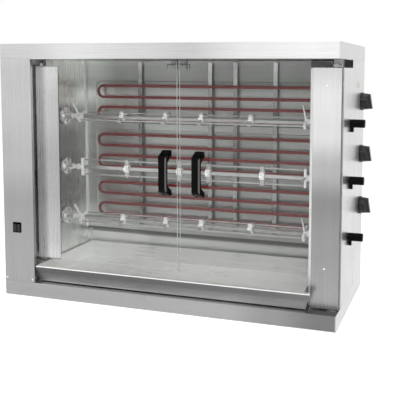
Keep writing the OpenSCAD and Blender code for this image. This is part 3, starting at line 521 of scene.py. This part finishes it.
def dial_mark_tree():
    """Printed marks round a dial: thin bars that grow longer from the first to the last."""
    tree, given, out = geometry_tree("dial_marks", {
        "Marks": ("Int", 7), "Ring radius": ("Float", 0.04), "Sweep": ("Float", 4.71),
        "Bar length": ("Float", 0.005), "Bar width": ("Float", 0.0012),
        "Bar height": ("Float", 0.0002), "Finish": ("Material", None)})
    first, shortest = math.radians(225), 0.5
    step = maths(tree, "DIVIDE", given["Sweep"], maths(tree, "SUBTRACT", given["Marks"], 1.0))
    row = add(tree, "GeometryNodeMeshLine", None, {"Count": given["Marks"]}).outputs["Mesh"]
    number = add(tree, "GeometryNodeInputIndex").outputs[0]
    angle = maths(tree, "ADD", maths(tree, "MULTIPLY", number, step), first)
    across, up = (maths(tree, "MULTIPLY", maths(tree, part, angle), given["Ring radius"])
                  for part in ("COSINE", "SINE"))
    ring = add(tree, "GeometryNodeSetPosition", None, {
        "Geometry": row, "Position": vector(tree, Y=across, Z=up)}).outputs[0]
    grow = maths(tree, "ADD", shortest, maths(tree, "DIVIDE", number, given["Marks"]))
    bars = add(tree, "GeometryNodeInstanceOnPoints", None, {
        "Points": ring, "Rotation": vector(tree, X=angle), "Scale": vector(tree, X=1, Y=grow, Z=1),
        "Instance": cuboid(tree, given["Bar height"], given["Bar length"], given["Bar width"])})
    return finish_tree(tree, given, out, at_points(tree, given, bars.outputs[0]))


def grown(name, tree, points, body, settings):
    """Runs a tree on points, each a place and a facing, and keeps the result as one plain mesh."""
    seeds = bpy.data.meshes.new(name + "_places")
    seeds.from_pydata([p for p, _ in points], [], [])
    facing = seeds.attributes.new("facing", "FLOAT_VECTOR", "POINT")
    for k, (_, way) in enumerate(points):
        facing.data[k].vector = way
    holder = bpy.data.objects.new(name + "_places", seeds)
    bpy.context.scene.collection.objects.link(holder)
    modifier = holder.modifiers.new(name, "NODES")
    modifier.node_group = tree
    for item in tree.interface.items_tree:
        if item.in_out == "INPUT" and item.name in settings:
            modifier[item.identifier] = settings[item.name]
    depsgraph = bpy.context.evaluated_depsgraph_get()
    mesh = bpy.data.meshes.new_from_object(holder.evaluated_get(depsgraph))
    holder.modifiers.clear()
    bpy.data.objects.remove(holder)
    if not mesh.polygons:
        raise RuntimeError(name + " came out empty")
    mesh.shade_smooth()
    mesh.set_sharp_from_angle(angle=SHARP_SMALL)
    return piece(name, mesh, None, body)


# ------------------------------------------------------------------ settings

def length(name, about, value):
    """A size in metres that a user may change."""
    return bpy.props.FloatProperty(name=name, description=about, default=value, min=0.0,
                                   subtype="DISTANCE", unit="LENGTH")


def colour(name, about, value):
    """A colour that a user may change."""
    return bpy.props.FloatVectorProperty(name=name, description=about, default=value, size=3,
                                         min=0.0, max=1.0, subtype="COLOR")


class GrillSizes(bpy.types.PropertyGroup):
    """Sizes of the grill's fine detail."""
    sheet_fold: length("Sheet fold", "Radius of the folds in the cabinet's sheet", 0.0008)
    pressed_fold: length("Pressed fold", "Radius of the edges of pressed panels", 0.0015)
    plastic_edge: length("Plastic edge", "Radius of the edges of handles and grips", 0.0012)
    small_edge: length("Small edge", "Radius of the edges of brackets and clamps", 0.0004)
    pane_edge: length("Pane edge", "Chamfer of the glass panes' edges", 0.0006)
    lever_reach: length("Lever reach", "Length of a skewer's cast left end", 0.056)
    spike_reach: length("Spike reach", "Length of a skewer's cast right end", 0.046)
    clamp_hub: length("Clamp hub", "Reach of a clamp's bright middle from the spit's axis", 0.0195)
    release_travel: length("Release travel", "How far a drawn release pin presses its spring", 0.025)
    head_radius: length("Screw head radius", "Radius of the domed screw heads", 0.0035)
    head_height: length("Screw head height", "Height of the domed screw heads", 0.0022)
    shank_radius: length("Shank radius", "Radius of the screws' shanks", 0.0018)
    nut_radius: length("Nut radius", "Radius to the corners of the hexagon nuts", 0.004)
    dial_radius: length("Dial radius", "Radius of the ring of marks round a knob", 0.0365)
    dial_marks: bpy.props.IntProperty(name="Dial marks", default=7, min=2,
                                      description="Number of marks round each knob")
    dial_sweep: bpy.props.FloatProperty(name="Dial sweep", default=math.radians(270),
                                        description="Angle between the first and the last mark",
                                        subtype="ANGLE", unit="ROTATION")


class GrillColours(bpy.types.PropertyGroup):
    """Colours of the grill's finishes."""
    cabinet: colour("Cabinet steel", "Brushed sheet of the cabinet and the door stiles",
                    (0.56, 0.56, 0.56))
    roof: colour("Roof steel", "Upper face of the top cover", (0.34, 0.34, 0.34))
    # Held darker than the cabinet steel, as painted shade inside the chamber
    chamber: colour("Chamber steel", "Sheet that lines the chamber", (0.275, 0.28, 0.272))
    strap: colour("Strap steel", "Heater straps and hinge brackets", (0.335, 0.34, 0.335))
    # Painted shadow on the stiles' return folds
    fold_shade: colour("Fold shade", "Return folds of the stiles", (0.05, 0.05, 0.05))
    # Bright steel of the screws, and painted light on the hinge wall, the right wall's front flange
    # and the drip tray
    hardware: colour("Bright steel", "Hinge wall, drip tray and screws", (0.80, 0.80, 0.79))
    # Also a painted highlight on the rear wall's corner flange
    casting: colour("Casting", "Drive discs, levers and clamps of the spits, door fittings",
                    (0.93, 0.93, 0.93))
    spit: colour("Spit steel", "Bars and rods of the skewers", (0.45, 0.45, 0.45))
    # Painted shade: a darker copy of the tray steel for its leaning front wall
    tray_front_shade: colour("Tray front", "Leaning front wall of the drip tray", (0.36, 0.36, 0.36))
    zinc: colour("Zinc", "Gears, gear case and springs", (0.55, 0.56, 0.58))
    bronze: colour("Bronze", "Sintered bushes", (0.50, 0.34, 0.17))
    ferrite: colour("Ferrite", "Magnets of the door catches", (0.24, 0.24, 0.24))
    tube_core: colour("Tube front", "Dark red of the heater tubes", (0.095, 0.002, 0.0015))
    # Painted sheen on the tubes' upper and lower sides
    tube_sheen: colour("Tube edge", "Paler red of the tubes' upper and lower sides",
                      (0.27, 0.03, 0.02))
    ceramic: colour("Ceramic", "Terminal insulators", (0.80, 0.78, 0.72))
    plastic: colour("Plastic", "Handles, release grips and regulators", (0.0025, 0.0025, 0.0025))
    # Painted highlight on the handles' right chamfer
    chamfer: colour("Chamfer", "Polished chamfer of the handles", (0.05, 0.05, 0.052))
    knob: colour("Knobs", "Glossy knobs and switch rockers", (0.010, 0.010, 0.011))
    lens: colour("Lamp lens", "Pilot lamp", (0.86, 0.83, 0.76))
    enamel: colour("Enamel", "Motor enamel", (0.04, 0.04, 0.045))
    glass: colour("Glass", "Door panes", (0.968, 0.976, 0.970))
    glass_edge: colour("Glass edge", "Ground edges of the door panes", (0.80, 0.86, 0.84))
    print_ink: colour("Dial print", "Marks round the knobs", (0.03, 0.03, 0.03))


# Fixed sizes of fastenings, in metres
NUT_HEIGHT = 0.003
HANDLE_HEAD_RADIUS, HANDLE_HEAD_HEIGHT = 0.006, 0.0025
PANEL_SHANK = 0.0025
WIDEST_STILE_SCREW = 0.0085
SHANK_GAP = 0.0002  # between a stile screw's end and the nut's outer face

# Area lamps, aimed at one point of the grill: name, place, side and power in watts
LAMP_AIM = (0, 0, 0.4)
LAMPS = (("key_lamp", (1.8, -3.0, 2.6), 2.0, 34),
         ("fill_lamp", (-2.4, -1.8, 1.8), 1.8, 12),
         ("top_lamp", (0.2, -0.2, 3.0), 2.4, 22))


# ------------------------------------------------------------------ operators

# Grain of brushed sheet: strokes that run up, across and from front to rear
UPRIGHT = (650, 650, 7)
ALONG_X = (7, 650, 650)
ALONG_Y = (650, 7, 650)


class GrillOperator:
    """Shared options of the grill's operators."""
    bl_options = {"REGISTER", "UNDO"}

    def settings(self, context):
        """The scene's sizes and colours of the grill."""
        return context.scene.grill_sizes, context.scene.grill_colours


class GRILL_OT_cabinet(GrillOperator, bpy.types.Operator):
    """Fold and finish the sheets of the cabinet"""
    bl_idname = "grill.cabinet"
    bl_label = "Cabinet sheets"

    def execute(self, context):
        sizes, tints = self.settings(context)
        steel = tints.cabinet
        # Painted reflection along the cover's front: darker at the left end, brightest towards the
        # right end
        cover = sheet_steel("cover_sheet", steel, ALONG_X, 0.3, [
            ("X", [(-0.55, 0.86), (-0.2, 1.22), (0.1, 1.05), (0.35, 1.5), (0.545, 1.5),
                   (0.549, 1.12)])],
            contrast=0.06)
        roof = sheet_steel("roof_sheet", tints.roof, ALONG_X, 0.45, contrast=0.06)
        folded("top_cover", cover, sizes.sheet_fold, parts=[
            (roof, lambda middle, normal: normal.z > SQUARE)])
        # Painted reflection and shade along the base pan: darker towards the right, back to full
        # brightness on its right end
        base = sheet_steel("base_sheet", steel, ALONG_X, 0.3, [
            ("X", [(-0.55, 0.6), (0.2, 0.66), (0.36, 0.5), (0.5, 0.32), (0.545, 0.32),
                   (0.549, 1.0)])],
            contrast=0.06)
        folded("base_pan", base, sizes.sheet_fold)
        paint(sheet_steel("base_plate", steel, ALONG_X, 0.4), "base_bottom")
        # Painted reflection and shade on the column and the left side panel: darker low down,
        # lighter higher up
        column = sheet_steel("column_sheet", steel, UPRIGHT, 0.3, [
            ("Z", [(0.08, 0.58), (0.3, 0.54), (0.45, 0.76), (0.62, 0.92), (0.77, 0.88)])],
            contrast=0.05)
        folded("column_front_panel", column, sizes.sheet_fold)
        folded("left_side_panel", column, sizes.sheet_fold)
        # Painted reflection on the right side panel and the control panel, lightest at the top
        side = sheet_steel("side_sheet", steel, UPRIGHT, 0.3, [
            ("Z", [(0.08, 0.95), (0.2, 0.86), (0.4, 1.0), (0.6, 1.08), (0.77, 1.16)])],
            contrast=0.05)
        folded("right_side_panel", side, sizes.sheet_fold)
        folded("control_panel", side, sizes.sheet_fold)
        paint(sheet_steel("rear_sheet", steel, UPRIGHT, 0.34), "rear_panel")
        paint(sheet_steel("runner_sheet", steel, ALONG_Y, 0.34), "tray_runners")
        return {"FINISHED"}


class GRILL_OT_chamber(GrillOperator, bpy.types.Operator):
    """Finish the bright sheets that line the cooking chamber, with painted reflection, shade and
    highlights
    """
    bl_idname = "grill.chamber"
    bl_label = "Chamber"

    def execute(self, context):
        sizes, tints = self.settings(context)
        # Painted reflection and shade on the rear wall and ceiling: lighter towards the left, a
        # painted shadow band at the rear wall's step, a darker band below the top
        wall = sheet_steel("chamber_painted_light_sheet", tints.chamber, ALONG_X, 0.36, [
            ("X", [(-0.44, 2.7), (-0.3, 2.6), (-0.18, 1.45), (0.1, 1.15), (0.45, 1.0)]),
            ("Z", [(0.1, 2.1), (0.131, 2.0), (0.143, 0.35), (0.159, 0.35), (0.161, 1.1), (0.31, 0.8),
                   (0.37, 0.74), (0.445, 0.98), (0.585, 1.05), (0.648, 1.15), (0.69, 0.61),
                   (0.745, 0.84), (0.77, 1.1)])],
            contrast=0.09, relief=0.04, metal=0.9)
        # Painted reflection on the chamber's side walls: much lighter near the bottom and the top
        side = sheet_steel("chamber_side_painted_light_sheet", tints.chamber, UPRIGHT, 0.28, [
            ("Z", [(0.1, 3.3), (0.2, 2.2), (0.3, 1.1), (0.5, 1.0), (0.58, 1.35), (0.65, 3.1),
                   (0.77, 3.4)])],
            contrast=0.04, relief=0.02, metal=0.85)
        # Painted light: a bright copy of the steel on the hinge wall, so that its reflection in the
        # left stile is light
        lit_hinge_wall = sheet_steel("lit_hinge_wall_sheet", tints.hardware, UPRIGHT, 0.3, contrast=0.04)
        # Painted shade on the heater straps: darker low down, lighter near the top
        strap = sheet_steel("strap_shade_sheet", tints.strap, UPRIGHT, 0.22, [
            ("Z", [(0.1, 0.66), (0.67, 0.66), (0.71, 1.1), (0.77, 1.6)])], relief=0.04)
        # Painted highlight along the rear wall's corner flange
        corner = sheet_steel("corner_highlight_sheet", tints.casting, UPRIGHT, 0.3, contrast=0.03, metal=0.3)
        # Painted shadow in the pocket above the right stile, and painted light on the flange below
        # it
        shaded = sheet_steel("shaded_flange_sheet", tints.hardware, UPRIGHT, 0.4, [
            ("Z", [(0.1, 0.9), (0.744, 0.9), (0.75, 0.06), (0.77, 0.06)])])
        flange_depth, inner_face = 0.002, 0.003
        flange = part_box("chamber_rear_wall")[0].x + flange_depth
        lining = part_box("chamber_left_wall")[1].x - inner_face
        folded("chamber_rear_wall", wall, sizes.pressed_fold, parts=[
            (corner, lambda middle, normal: middle.x < flange)])
        folded("chamber_left_wall", side, sizes.sheet_fold, parts=[
            (lit_hinge_wall, lambda middle, normal: middle.x < lining)])
        folded("chamber_right_wall", side, sizes.sheet_fold, parts=[
            (shaded, lambda middle, normal: normal.y < -SQUARE)])
        paint(wall, "chamber_ceiling")
        paint(strap, "heater_straps")
        return {"FINISHED"}


class GRILL_OT_heaters(GrillOperator, bpy.types.Operator):
    """Finish the heater tubes and their terminals"""
    bl_idname = "grill.heaters"
    bl_label = "Heaters"

    def execute(self, context):
        _, tints = self.settings(context)
        # The tubes' glow of 0.35 is painted light
        tube = hot_tube("heater_sheath", tints.tube_core, tints.tube_sheen, 0.35)
        paint(tube, "heater_bank_1", "heater_bank_2", "heater_bank_3")
        paint(cast_surface("terminal_ceramic", tints.ceramic, 0.45, 0.0, 900), "heater_terminals")
        return {"FINISHED"}


class GRILL_OT_doors(GrillOperator, bpy.types.Operator):
    """Finish the door stiles, panes, handles and hinges"""
    bl_idname = "grill.doors"
    bl_label = "Doors"

    def execute(self, context):
        sizes, tints = self.settings(context)
        steel = tints.cabinet
        # Painted reflection on the left stile: lighter at its left edge, at the bottom and at the
        # top
        left = sheet_steel("left_stile_sheet", steel, UPRIGHT, 0.28, [
            ("X", [(-0.448, 1.5), (-0.42, 1.35), (-0.39, 0.98), (-0.366, 0.88)]),
            ("Z", [(0.12, 1.2), (0.2, 0.95), (0.34, 0.8), (0.45, 0.8), (0.62, 1.03), (0.75, 1.28)])],
            contrast=0.02, relief=0.03, metal=0.5)
        # Painted shadow on the stiles' return folds
        turned = sheet_steel("stile_return_shadow", tints.fold_shade, UPRIGHT, 0.4)
        # Painted reflection on the right stile: dark below the middle, light near the top
        right = sheet_steel("right_stile_sheet", steel, UPRIGHT, 0.26, [
            ("Z", [(0.05, 0.55), (0.24, 0.46), (0.36, 0.40), (0.46, 0.72), (0.56, 1.2), (0.66, 1.3),
                   (0.75, 1.15)])], contrast=0.05)
        glass = pane_glass("pane_glass", tints.glass)
        edge = ground_edge("pane_edge", tints.glass_edge)
        handle = moulded_plastic("handle_plastic", tints.plastic, 0.26, gloss=0.05)
        # Painted highlight on the right chamfer of each handle
        shine = moulded_plastic("handle_chamfer_highlight", tints.chamfer, 0.2, pebble=0.1, gloss=0.9)
        fitting = cast_surface("fitting_nickel", tints.casting, 0.3, 0.0, 700, 0.1)
        bracket = turned_steel("bracket_steel", tints.strap, 0.35)
        seam = (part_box("left_door_pane")[1].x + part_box("right_door_pane")[0].x) / 2
        strike_reach = 0.1
        for hand, stile in (("left", left), ("right", right)):
            folded(hand + "_door_stile", stile, sizes.sheet_fold, parts=[
                (turned, lambda middle, normal: normal.x > SQUARE)])
            folded(hand + "_door_pane", glass, sizes.pane_edge, segments=1, parts=[
                (edge, lambda middle, normal: abs(normal.y) < SQUARE)])
            folded(hand + "_door_handle", handle, sizes.plastic_edge, segments=3, least=12, parts=[
                (shine, lambda middle, normal: LEANING < normal.x < SQUARE
                 and normal.y < -LEANING)])
            folded(hand + "_door_fittings", fitting, sizes.small_edge, parts=[
                (bracket, lambda middle, normal: abs(middle.x - seam) > strike_reach)])
        folded("hinge_brackets", bracket, sizes.small_edge)
        paint(cast_surface("magnet_ferrite", tints.ferrite, 0.4, 0.0, 700), "door_magnets")
        return {"FINISHED"}


class GRILL_OT_tray(GrillOperator, bpy.types.Operator):
    """Fold and finish the drip tray"""
    bl_idname = "grill.tray"
    bl_label = "Drip tray"

    def execute(self, context):
        sizes, tints = self.settings(context)
        # Painted reflection on the tray's inside, its rear wall and its brim, each lighter or darker
        # along X
        sheet = sheet_steel("tray_sheet", tints.hardware, ALONG_X, 0.3, [
            ("X", [(-0.45, 1.3), (-0.28, 1.4), (0.1, 1.4), (0.5, 1.25)])],
            contrast=0.03, relief=0.05, metal=0.35)
        rear = sheet_steel("tray_rear_sheet", tints.hardware, ALONG_X, 0.3, [
            ("X", [(-0.45, 1.1), (-0.28, 1.08), (-0.1, 0.86), (0.1, 0.8), (0.5, 0.86)])],
            contrast=0.06, relief=0.05, metal=0.35)
        brim = sheet_steel("tray_lip_sheet", tints.hardware, ALONG_X, 0.3, [
            ("X", [(-0.45, 1.25), (-0.3, 1.12), (-0.1, 1.0), (0.1, 0.92), (0.5, 0.88)])],
            contrast=0.06, relief=0.05, metal=0.35)
        # Painted reflection and shade on the tray's leaning front wall: a darker copy of the tray
        # steel, lightest at its foot
        shaded_apron = sheet_steel("tray_front_shade_sheet", tints.tray_front_shade, ALONG_X, 0.3, [
            ("X", [(-0.45, 1.0), (-0.1, 1.1), (0.3, 1.3), (0.5, 1.5)]),
            ("Z", [(0.05, 3.2), (0.0577, 2.0), (0.0654, 1.5), (0.073, 0.85), (0.077, 0.6),
                   (0.081, 0.4), (0.0885, 0.33), (0.1, 0.34)])], contrast=0.06, relief=0.05)
        low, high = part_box("drip_tray")
        lip_drop, lip_width, wall_reach = 0.004, 0.02, 0.03
        lip = high.z - lip_drop
        folded("drip_tray", sheet, sizes.sheet_fold, parts=[
            (shaded_apron, lambda middle, normal: normal.y < -LEANING and middle.z < lip
             and middle.y < low.y + wall_reach),
            (rear, lambda middle, normal: normal.y < -MOSTLY and middle.y > high.y - wall_reach),
            (brim, lambda middle, normal: normal.z > SQUARE and middle.z > lip
             and middle.y < low.y + lip_width)])
        return {"FINISHED"}


class GRILL_OT_spits(GrillOperator, bpy.types.Operator):
    """Finish the spits with their drive discs, skewers and clamps"""
    bl_idname = "grill.spits"
    bl_label = "Spits"

    def execute(self, context):
        sizes, tints = self.settings(context)
        bar = turned_steel("spit_steel", tints.spit, 0.34, metal=0.5)
        gear = turned_steel("gear_steel", tints.zinc, 0.25, (900, 60, 60))
        casting = cast_surface("spit_casting", tints.casting, 0.25, 0.0, 900, 0.1)
        disc = cast_surface("disc_chrome", tints.casting, 0.24, 0.7, 900, 0.1)
        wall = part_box("chamber_left_wall")[1].x
        for i in "123":
            low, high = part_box(f"spit_{i}_skewer")
            axis = middle_of(f"spit_{i}_drive")
            ends = low.x + sizes.lever_reach, high.x - sizes.spike_reach
            folded(f"spit_{i}_drive", disc, sizes.small_edge, segments=1, parts=[
                (gear, lambda middle, normal: middle.x < wall)])
            folded(f"spit_{i}_skewer", casting, sizes.small_edge, segments=1, parts=[
                (bar, lambda middle, normal: ends[0] < middle.x < ends[1])])
            folded(f"spit_{i}_clamps", casting, sizes.small_edge, segments=1, parts=[
                (bar, lambda middle, normal: (middle - axis).yz.length > sizes.clamp_hub)])
        return {"FINISHED"}


class GRILL_OT_drive(GrillOperator, bpy.types.Operator):
    """Finish the gear case, motor, bushes, springs and regulators"""
    bl_idname = "grill.drive"
    bl_label = "Drive"

    def execute(self, context):
        sizes, tints = self.settings(context)
        zinc = cast_surface("case_zinc", tints.zinc, 0.4, 1.0, 700)
        paint(zinc, "gear_case", "motor_pinion")
        paint(cast_surface("motor_enamel", tints.enamel, 0.42, 0.0, 800), "gear_motor")
        paint(cast_surface("bush_bronze", tints.bronze, 0.4, 1.0, 1500), "spit_bushes")
        wire = turned_steel("spring_wire", tints.zinc, 0.25, (300, 300, 300))
        for i in "123":
            spring = copied(f"release_spring_{i}", wire)
            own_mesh(spring)
        matt = moulded_plastic("case_plastic", tints.plastic, 0.5)
        paint(matt, "energy_regulators", "cable_gland")
        return {"FINISHED"}


class GRILL_OT_controls(GrillOperator, bpy.types.Operator):
    """Finish the knobs, release grips, pilot lamp and switch, and print the dials"""
    bl_idname = "grill.controls"
    bl_label = "Controls"

    def execute(self, context):
        sizes, tints = self.settings(context)
        gloss = moulded_plastic("knob_plastic", tints.knob, 0.24, pebble=0.04, coat=0.25, gloss=0.2)
        grip = moulded_plastic("grip_plastic", tints.plastic, 0.3, gloss=0.06)
        for i in "123":
            folded(f"knob_{i}", gloss, sizes.plastic_edge, segments=3)
            folded(f"release_pin_{i}", grip, sizes.plastic_edge, segments=3)
        folded("pilot_lamp", lens_plastic("lamp_lens", tints.lens, 0.1), sizes.small_edge)
        folded("switch_frame", grip, sizes.small_edge)
        for hand in ("left", "right"):
            folded("switch_rocker_" + hand, gloss, sizes.small_edge)
        dials = []
        for i in "123":
            middle = middle_of("knob_" + i)
            dials.append((Vector((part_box("control_panel")[1].x, middle.y, middle.z)), RIGHT))
        ink = cast_surface("dial_print", tints.print_ink, 0.5, 0.0, 1200)
        grown("dial_marks", dial_mark_tree(), dials, "cabinet", {
            "Marks": sizes.dial_marks, "Ring radius": sizes.dial_radius,
            "Sweep": sizes.dial_sweep, "Finish": ink})
        return {"FINISHED"}


class GRILL_OT_fastenings(GrillOperator, bpy.types.Operator):
    """Make the screws and nuts of the panels and doors"""
    bl_idname = "grill.fastenings"
    bl_label = "Fastenings"

    def execute(self, context):
        sizes, tints = self.settings(context)
        steel = turned_steel("screw_steel", tints.hardware, 0.2, (400, 400, 400))
        screw, nut = cross_screw_tree(), hex_nut_tree()

        def screws(name, points, body, shank, radius=sizes.head_radius, height=sizes.head_height):
            return grown(name, screw, points, body, {
                "Head radius": radius, "Head height": height, "Shank radius": sizes.shank_radius,
                "Shank length": shank, "Finish": steel})

        places = []
        for low, high in loose_parts("panel_screws"):
            middle = (low + high) / 2
            if middle.x > (CAD_LOW.x + CAD_HIGH.x) / 2:
                places.append((Vector((high.x - sizes.head_height, middle.y, middle.z)), RIGHT))
            else:
                places.append((Vector((middle.x, low.y + sizes.head_height, middle.z)), FRONT))
        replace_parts(screws("panel_screw_heads", places, "cabinet", PANEL_SHANK), "panel_screws")

        for hand in ("left", "right"):
            node, body = hand + "_door_screws", hand + "_door"
            fronts, nuts, backs = [], [], []
            for low, high in loose_parts(node):
                middle = (low + high) / 2
                if high.x - low.x < WIDEST_STILE_SCREW:
                    fronts.append((Vector((middle.x, low.y + sizes.head_height, middle.z)), FRONT))
                    nuts.append((Vector((middle.x, high.y - NUT_HEIGHT, middle.z)), REAR))
                    through = high.y - low.y - sizes.head_height
                else:
                    backs.append((Vector((middle.x, high.y - HANDLE_HEAD_HEIGHT, middle.z)), REAR))
                    grip = high.y - low.y - HANDLE_HEAD_HEIGHT
            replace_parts(screws(f"{hand}_stile_screws", fronts, body, through - SHANK_GAP), node)
            grown(f"{hand}_stile_nuts", nut, nuts, body, {
                "Corner radius": sizes.nut_radius, "Height": NUT_HEIGHT, "Finish": steel})
            screws(f"{hand}_handle_screws", backs, body, grip, HANDLE_HEAD_RADIUS,
                   HANDLE_HEAD_HEIGHT)
        return {"FINISHED"}


class GRILL_OT_stage(GrillOperator, bpy.types.Operator):
    """Set the floor, the light and the camera"""
    bl_idname = "grill.stage"
    bl_label = "Stage"

    def execute(self, context):
        set_floor()
        set_world()
        for name, place, side, power in LAMPS:
            set_lamp(name, place, side, power)
        set_camera()
        context.scene.view_settings.view_transform = "Standard"
        return {"FINISHED"}


def seen_rays(tree):
    """1 for rays of the camera, of mirrors and through glass, and 0 for light on surfaces."""
    path = add(tree, "ShaderNodeLightPath").outputs
    seen = maths(tree, "ADD", path["Is Camera Ray"], path["Is Glossy Ray"])
    return maths(tree, "MINIMUM", maths(tree, "ADD", seen, path["Is Transmission Ray"]), 1.0)


def set_floor():
    """Large pale floor that fades into the white background and keeps the shadow."""
    mesh = bpy.data.meshes.new("floor")
    reach, pale, glow = 14.0, (0.84, 0.84, 0.84), 0.55
    corners = ((-reach, -reach, 0), (reach, -reach, 0), (reach, reach, 0), (-reach, reach, 0))
    mesh.from_pydata(corners, [], [(0, 1, 2, 3)])
    floor = bpy.data.objects.new("floor", mesh)
    bpy.context.scene.collection.objects.link(floor)
    material, tree, out = blank_material("pale_floor")
    soft = noise(tree, object_coords(tree), scale=2.0)
    board = add(tree, "ShaderNodeBsdfDiffuse", None, {
        "Color": tinted(tree, pale, span(tree, soft, *NOISE_RANGE, 0.99, 1.01))})
    lift = add(tree, "ShaderNodeEmission", None, {
        "Color": (1, 1, 1, 1), "Strength": maths(tree, "MULTIPLY", seen_rays(tree), glow)})
    both = add(tree, "ShaderNodeAddShader", None, {0: board.outputs[0], 1: lift.outputs[0]})
    tree.links.new(both.outputs[0], out.inputs["Surface"])
    mesh.materials.append(material)


def set_world():
    """White surroundings, dimmer as a light than as a background."""
    world = bpy.data.worlds.new("studio")
    world.use_nodes = True
    tree = world.node_tree
    tree.nodes.clear()
    lighting, seen = 0.62, 1.0
    strength = span(tree, seen_rays(tree), 0, 1, lighting, seen)
    ground = add(tree, "ShaderNodeBackground", None, {"Color": (1, 1, 1, 1), "Strength": strength})
    out = add(tree, "ShaderNodeOutputWorld")
    tree.links.new(ground.outputs[0], out.inputs["Surface"])
    bpy.context.scene.world = world


def set_lamp(name, place, side, power):
    """Square lamp that the camera doesn't see, turned towards the grill."""
    light = bpy.data.lights.new(name, "AREA")
    light.shape, light.size, light.energy = "SQUARE", side, power
    holder = bpy.data.objects.new(name, light)
    holder.location = place
    holder.rotation_euler = (Vector(LAMP_AIM) - Vector(place)).to_track_quat("-Z", "Y").to_euler()
    holder.visible_camera = False
    bpy.context.scene.collection.objects.link(holder)


def set_camera():
    """Camera at the photograph's viewing angle: yaw, pitch and roll in degrees, place in metres."""
    yaw, pitch, roll = (math.radians(a) for a in (17.884, -5.110, 0.257))
    place = Matrix.Translation((0.8788, -2.1524, 0.7418))
    ahead = Vector((-math.sin(yaw) * math.cos(pitch), math.cos(yaw) * math.cos(pitch),
                    math.sin(pitch)))
    side = Vector((math.cos(yaw), math.sin(yaw), 0))
    up = side.cross(ahead)
    across = side * math.cos(roll) + up * math.sin(roll)
    above = up * math.cos(roll) - side * math.sin(roll)
    data = bpy.data.cameras.new("camera")
    data.lens, data.sensor_width = 62.96, 36.0
    data.shift_x, data.shift_y = -0.10, -0.17
    camera = bpy.data.objects.new("camera", data)
    camera.matrix_world = place @ Matrix((across, above, -ahead)).transposed().to_4x4()
    bpy.context.scene.collection.objects.link(camera)
    bpy.context.scene.camera = camera


OPERATORS = (GRILL_OT_cabinet, GRILL_OT_chamber, GRILL_OT_heaters, GRILL_OT_doors, GRILL_OT_tray,
             GRILL_OT_spits, GRILL_OT_drive, GRILL_OT_controls, GRILL_OT_fastenings, GRILL_OT_stage)


class GRILL_PT_sidebar(bpy.types.Panel):
    """Sizes, colours and steps of the skewer grill"""
    bl_label = "Skewer Grill"
    bl_idname = "GRILL_PT_sidebar"
    bl_space_type = "VIEW_3D"
    bl_region_type = "UI"
    bl_category = "Skewer Grill"

    def draw(self, context):
        for group in (context.scene.grill_sizes, context.scene.grill_colours):
            box = self.layout.box()
            for key in group.__annotations__:
                box.prop(group, key)
        for operator in OPERATORS:
            self.layout.operator(operator.bl_idname)


CLASSES = (GrillSizes, GrillColours, *OPERATORS, GRILL_PT_sidebar)


def register():
    for cls in CLASSES:
        bpy.utils.register_class(cls)
    bpy.types.Scene.grill_sizes = bpy.props.PointerProperty(type=GrillSizes)
    bpy.types.Scene.grill_colours = bpy.props.PointerProperty(type=GrillColours)


def unregister():
    del bpy.types.Scene.grill_sizes
    del bpy.types.Scene.grill_colours
    for cls in reversed(CLASSES):
        bpy.utils.unregister_class(cls)


def main():
    """Runs the operators in order."""
    register()
    bpy.ops.grill.cabinet()
    bpy.ops.grill.chamber()
    bpy.ops.grill.heaters()
    bpy.ops.grill.doors()
    bpy.ops.grill.tray()
    bpy.ops.grill.spits()
    bpy.ops.grill.drive()
    bpy.ops.grill.controls()
    bpy.ops.grill.fastenings()
    bpy.ops.grill.stage()


if __name__ == "__main__":
    main()
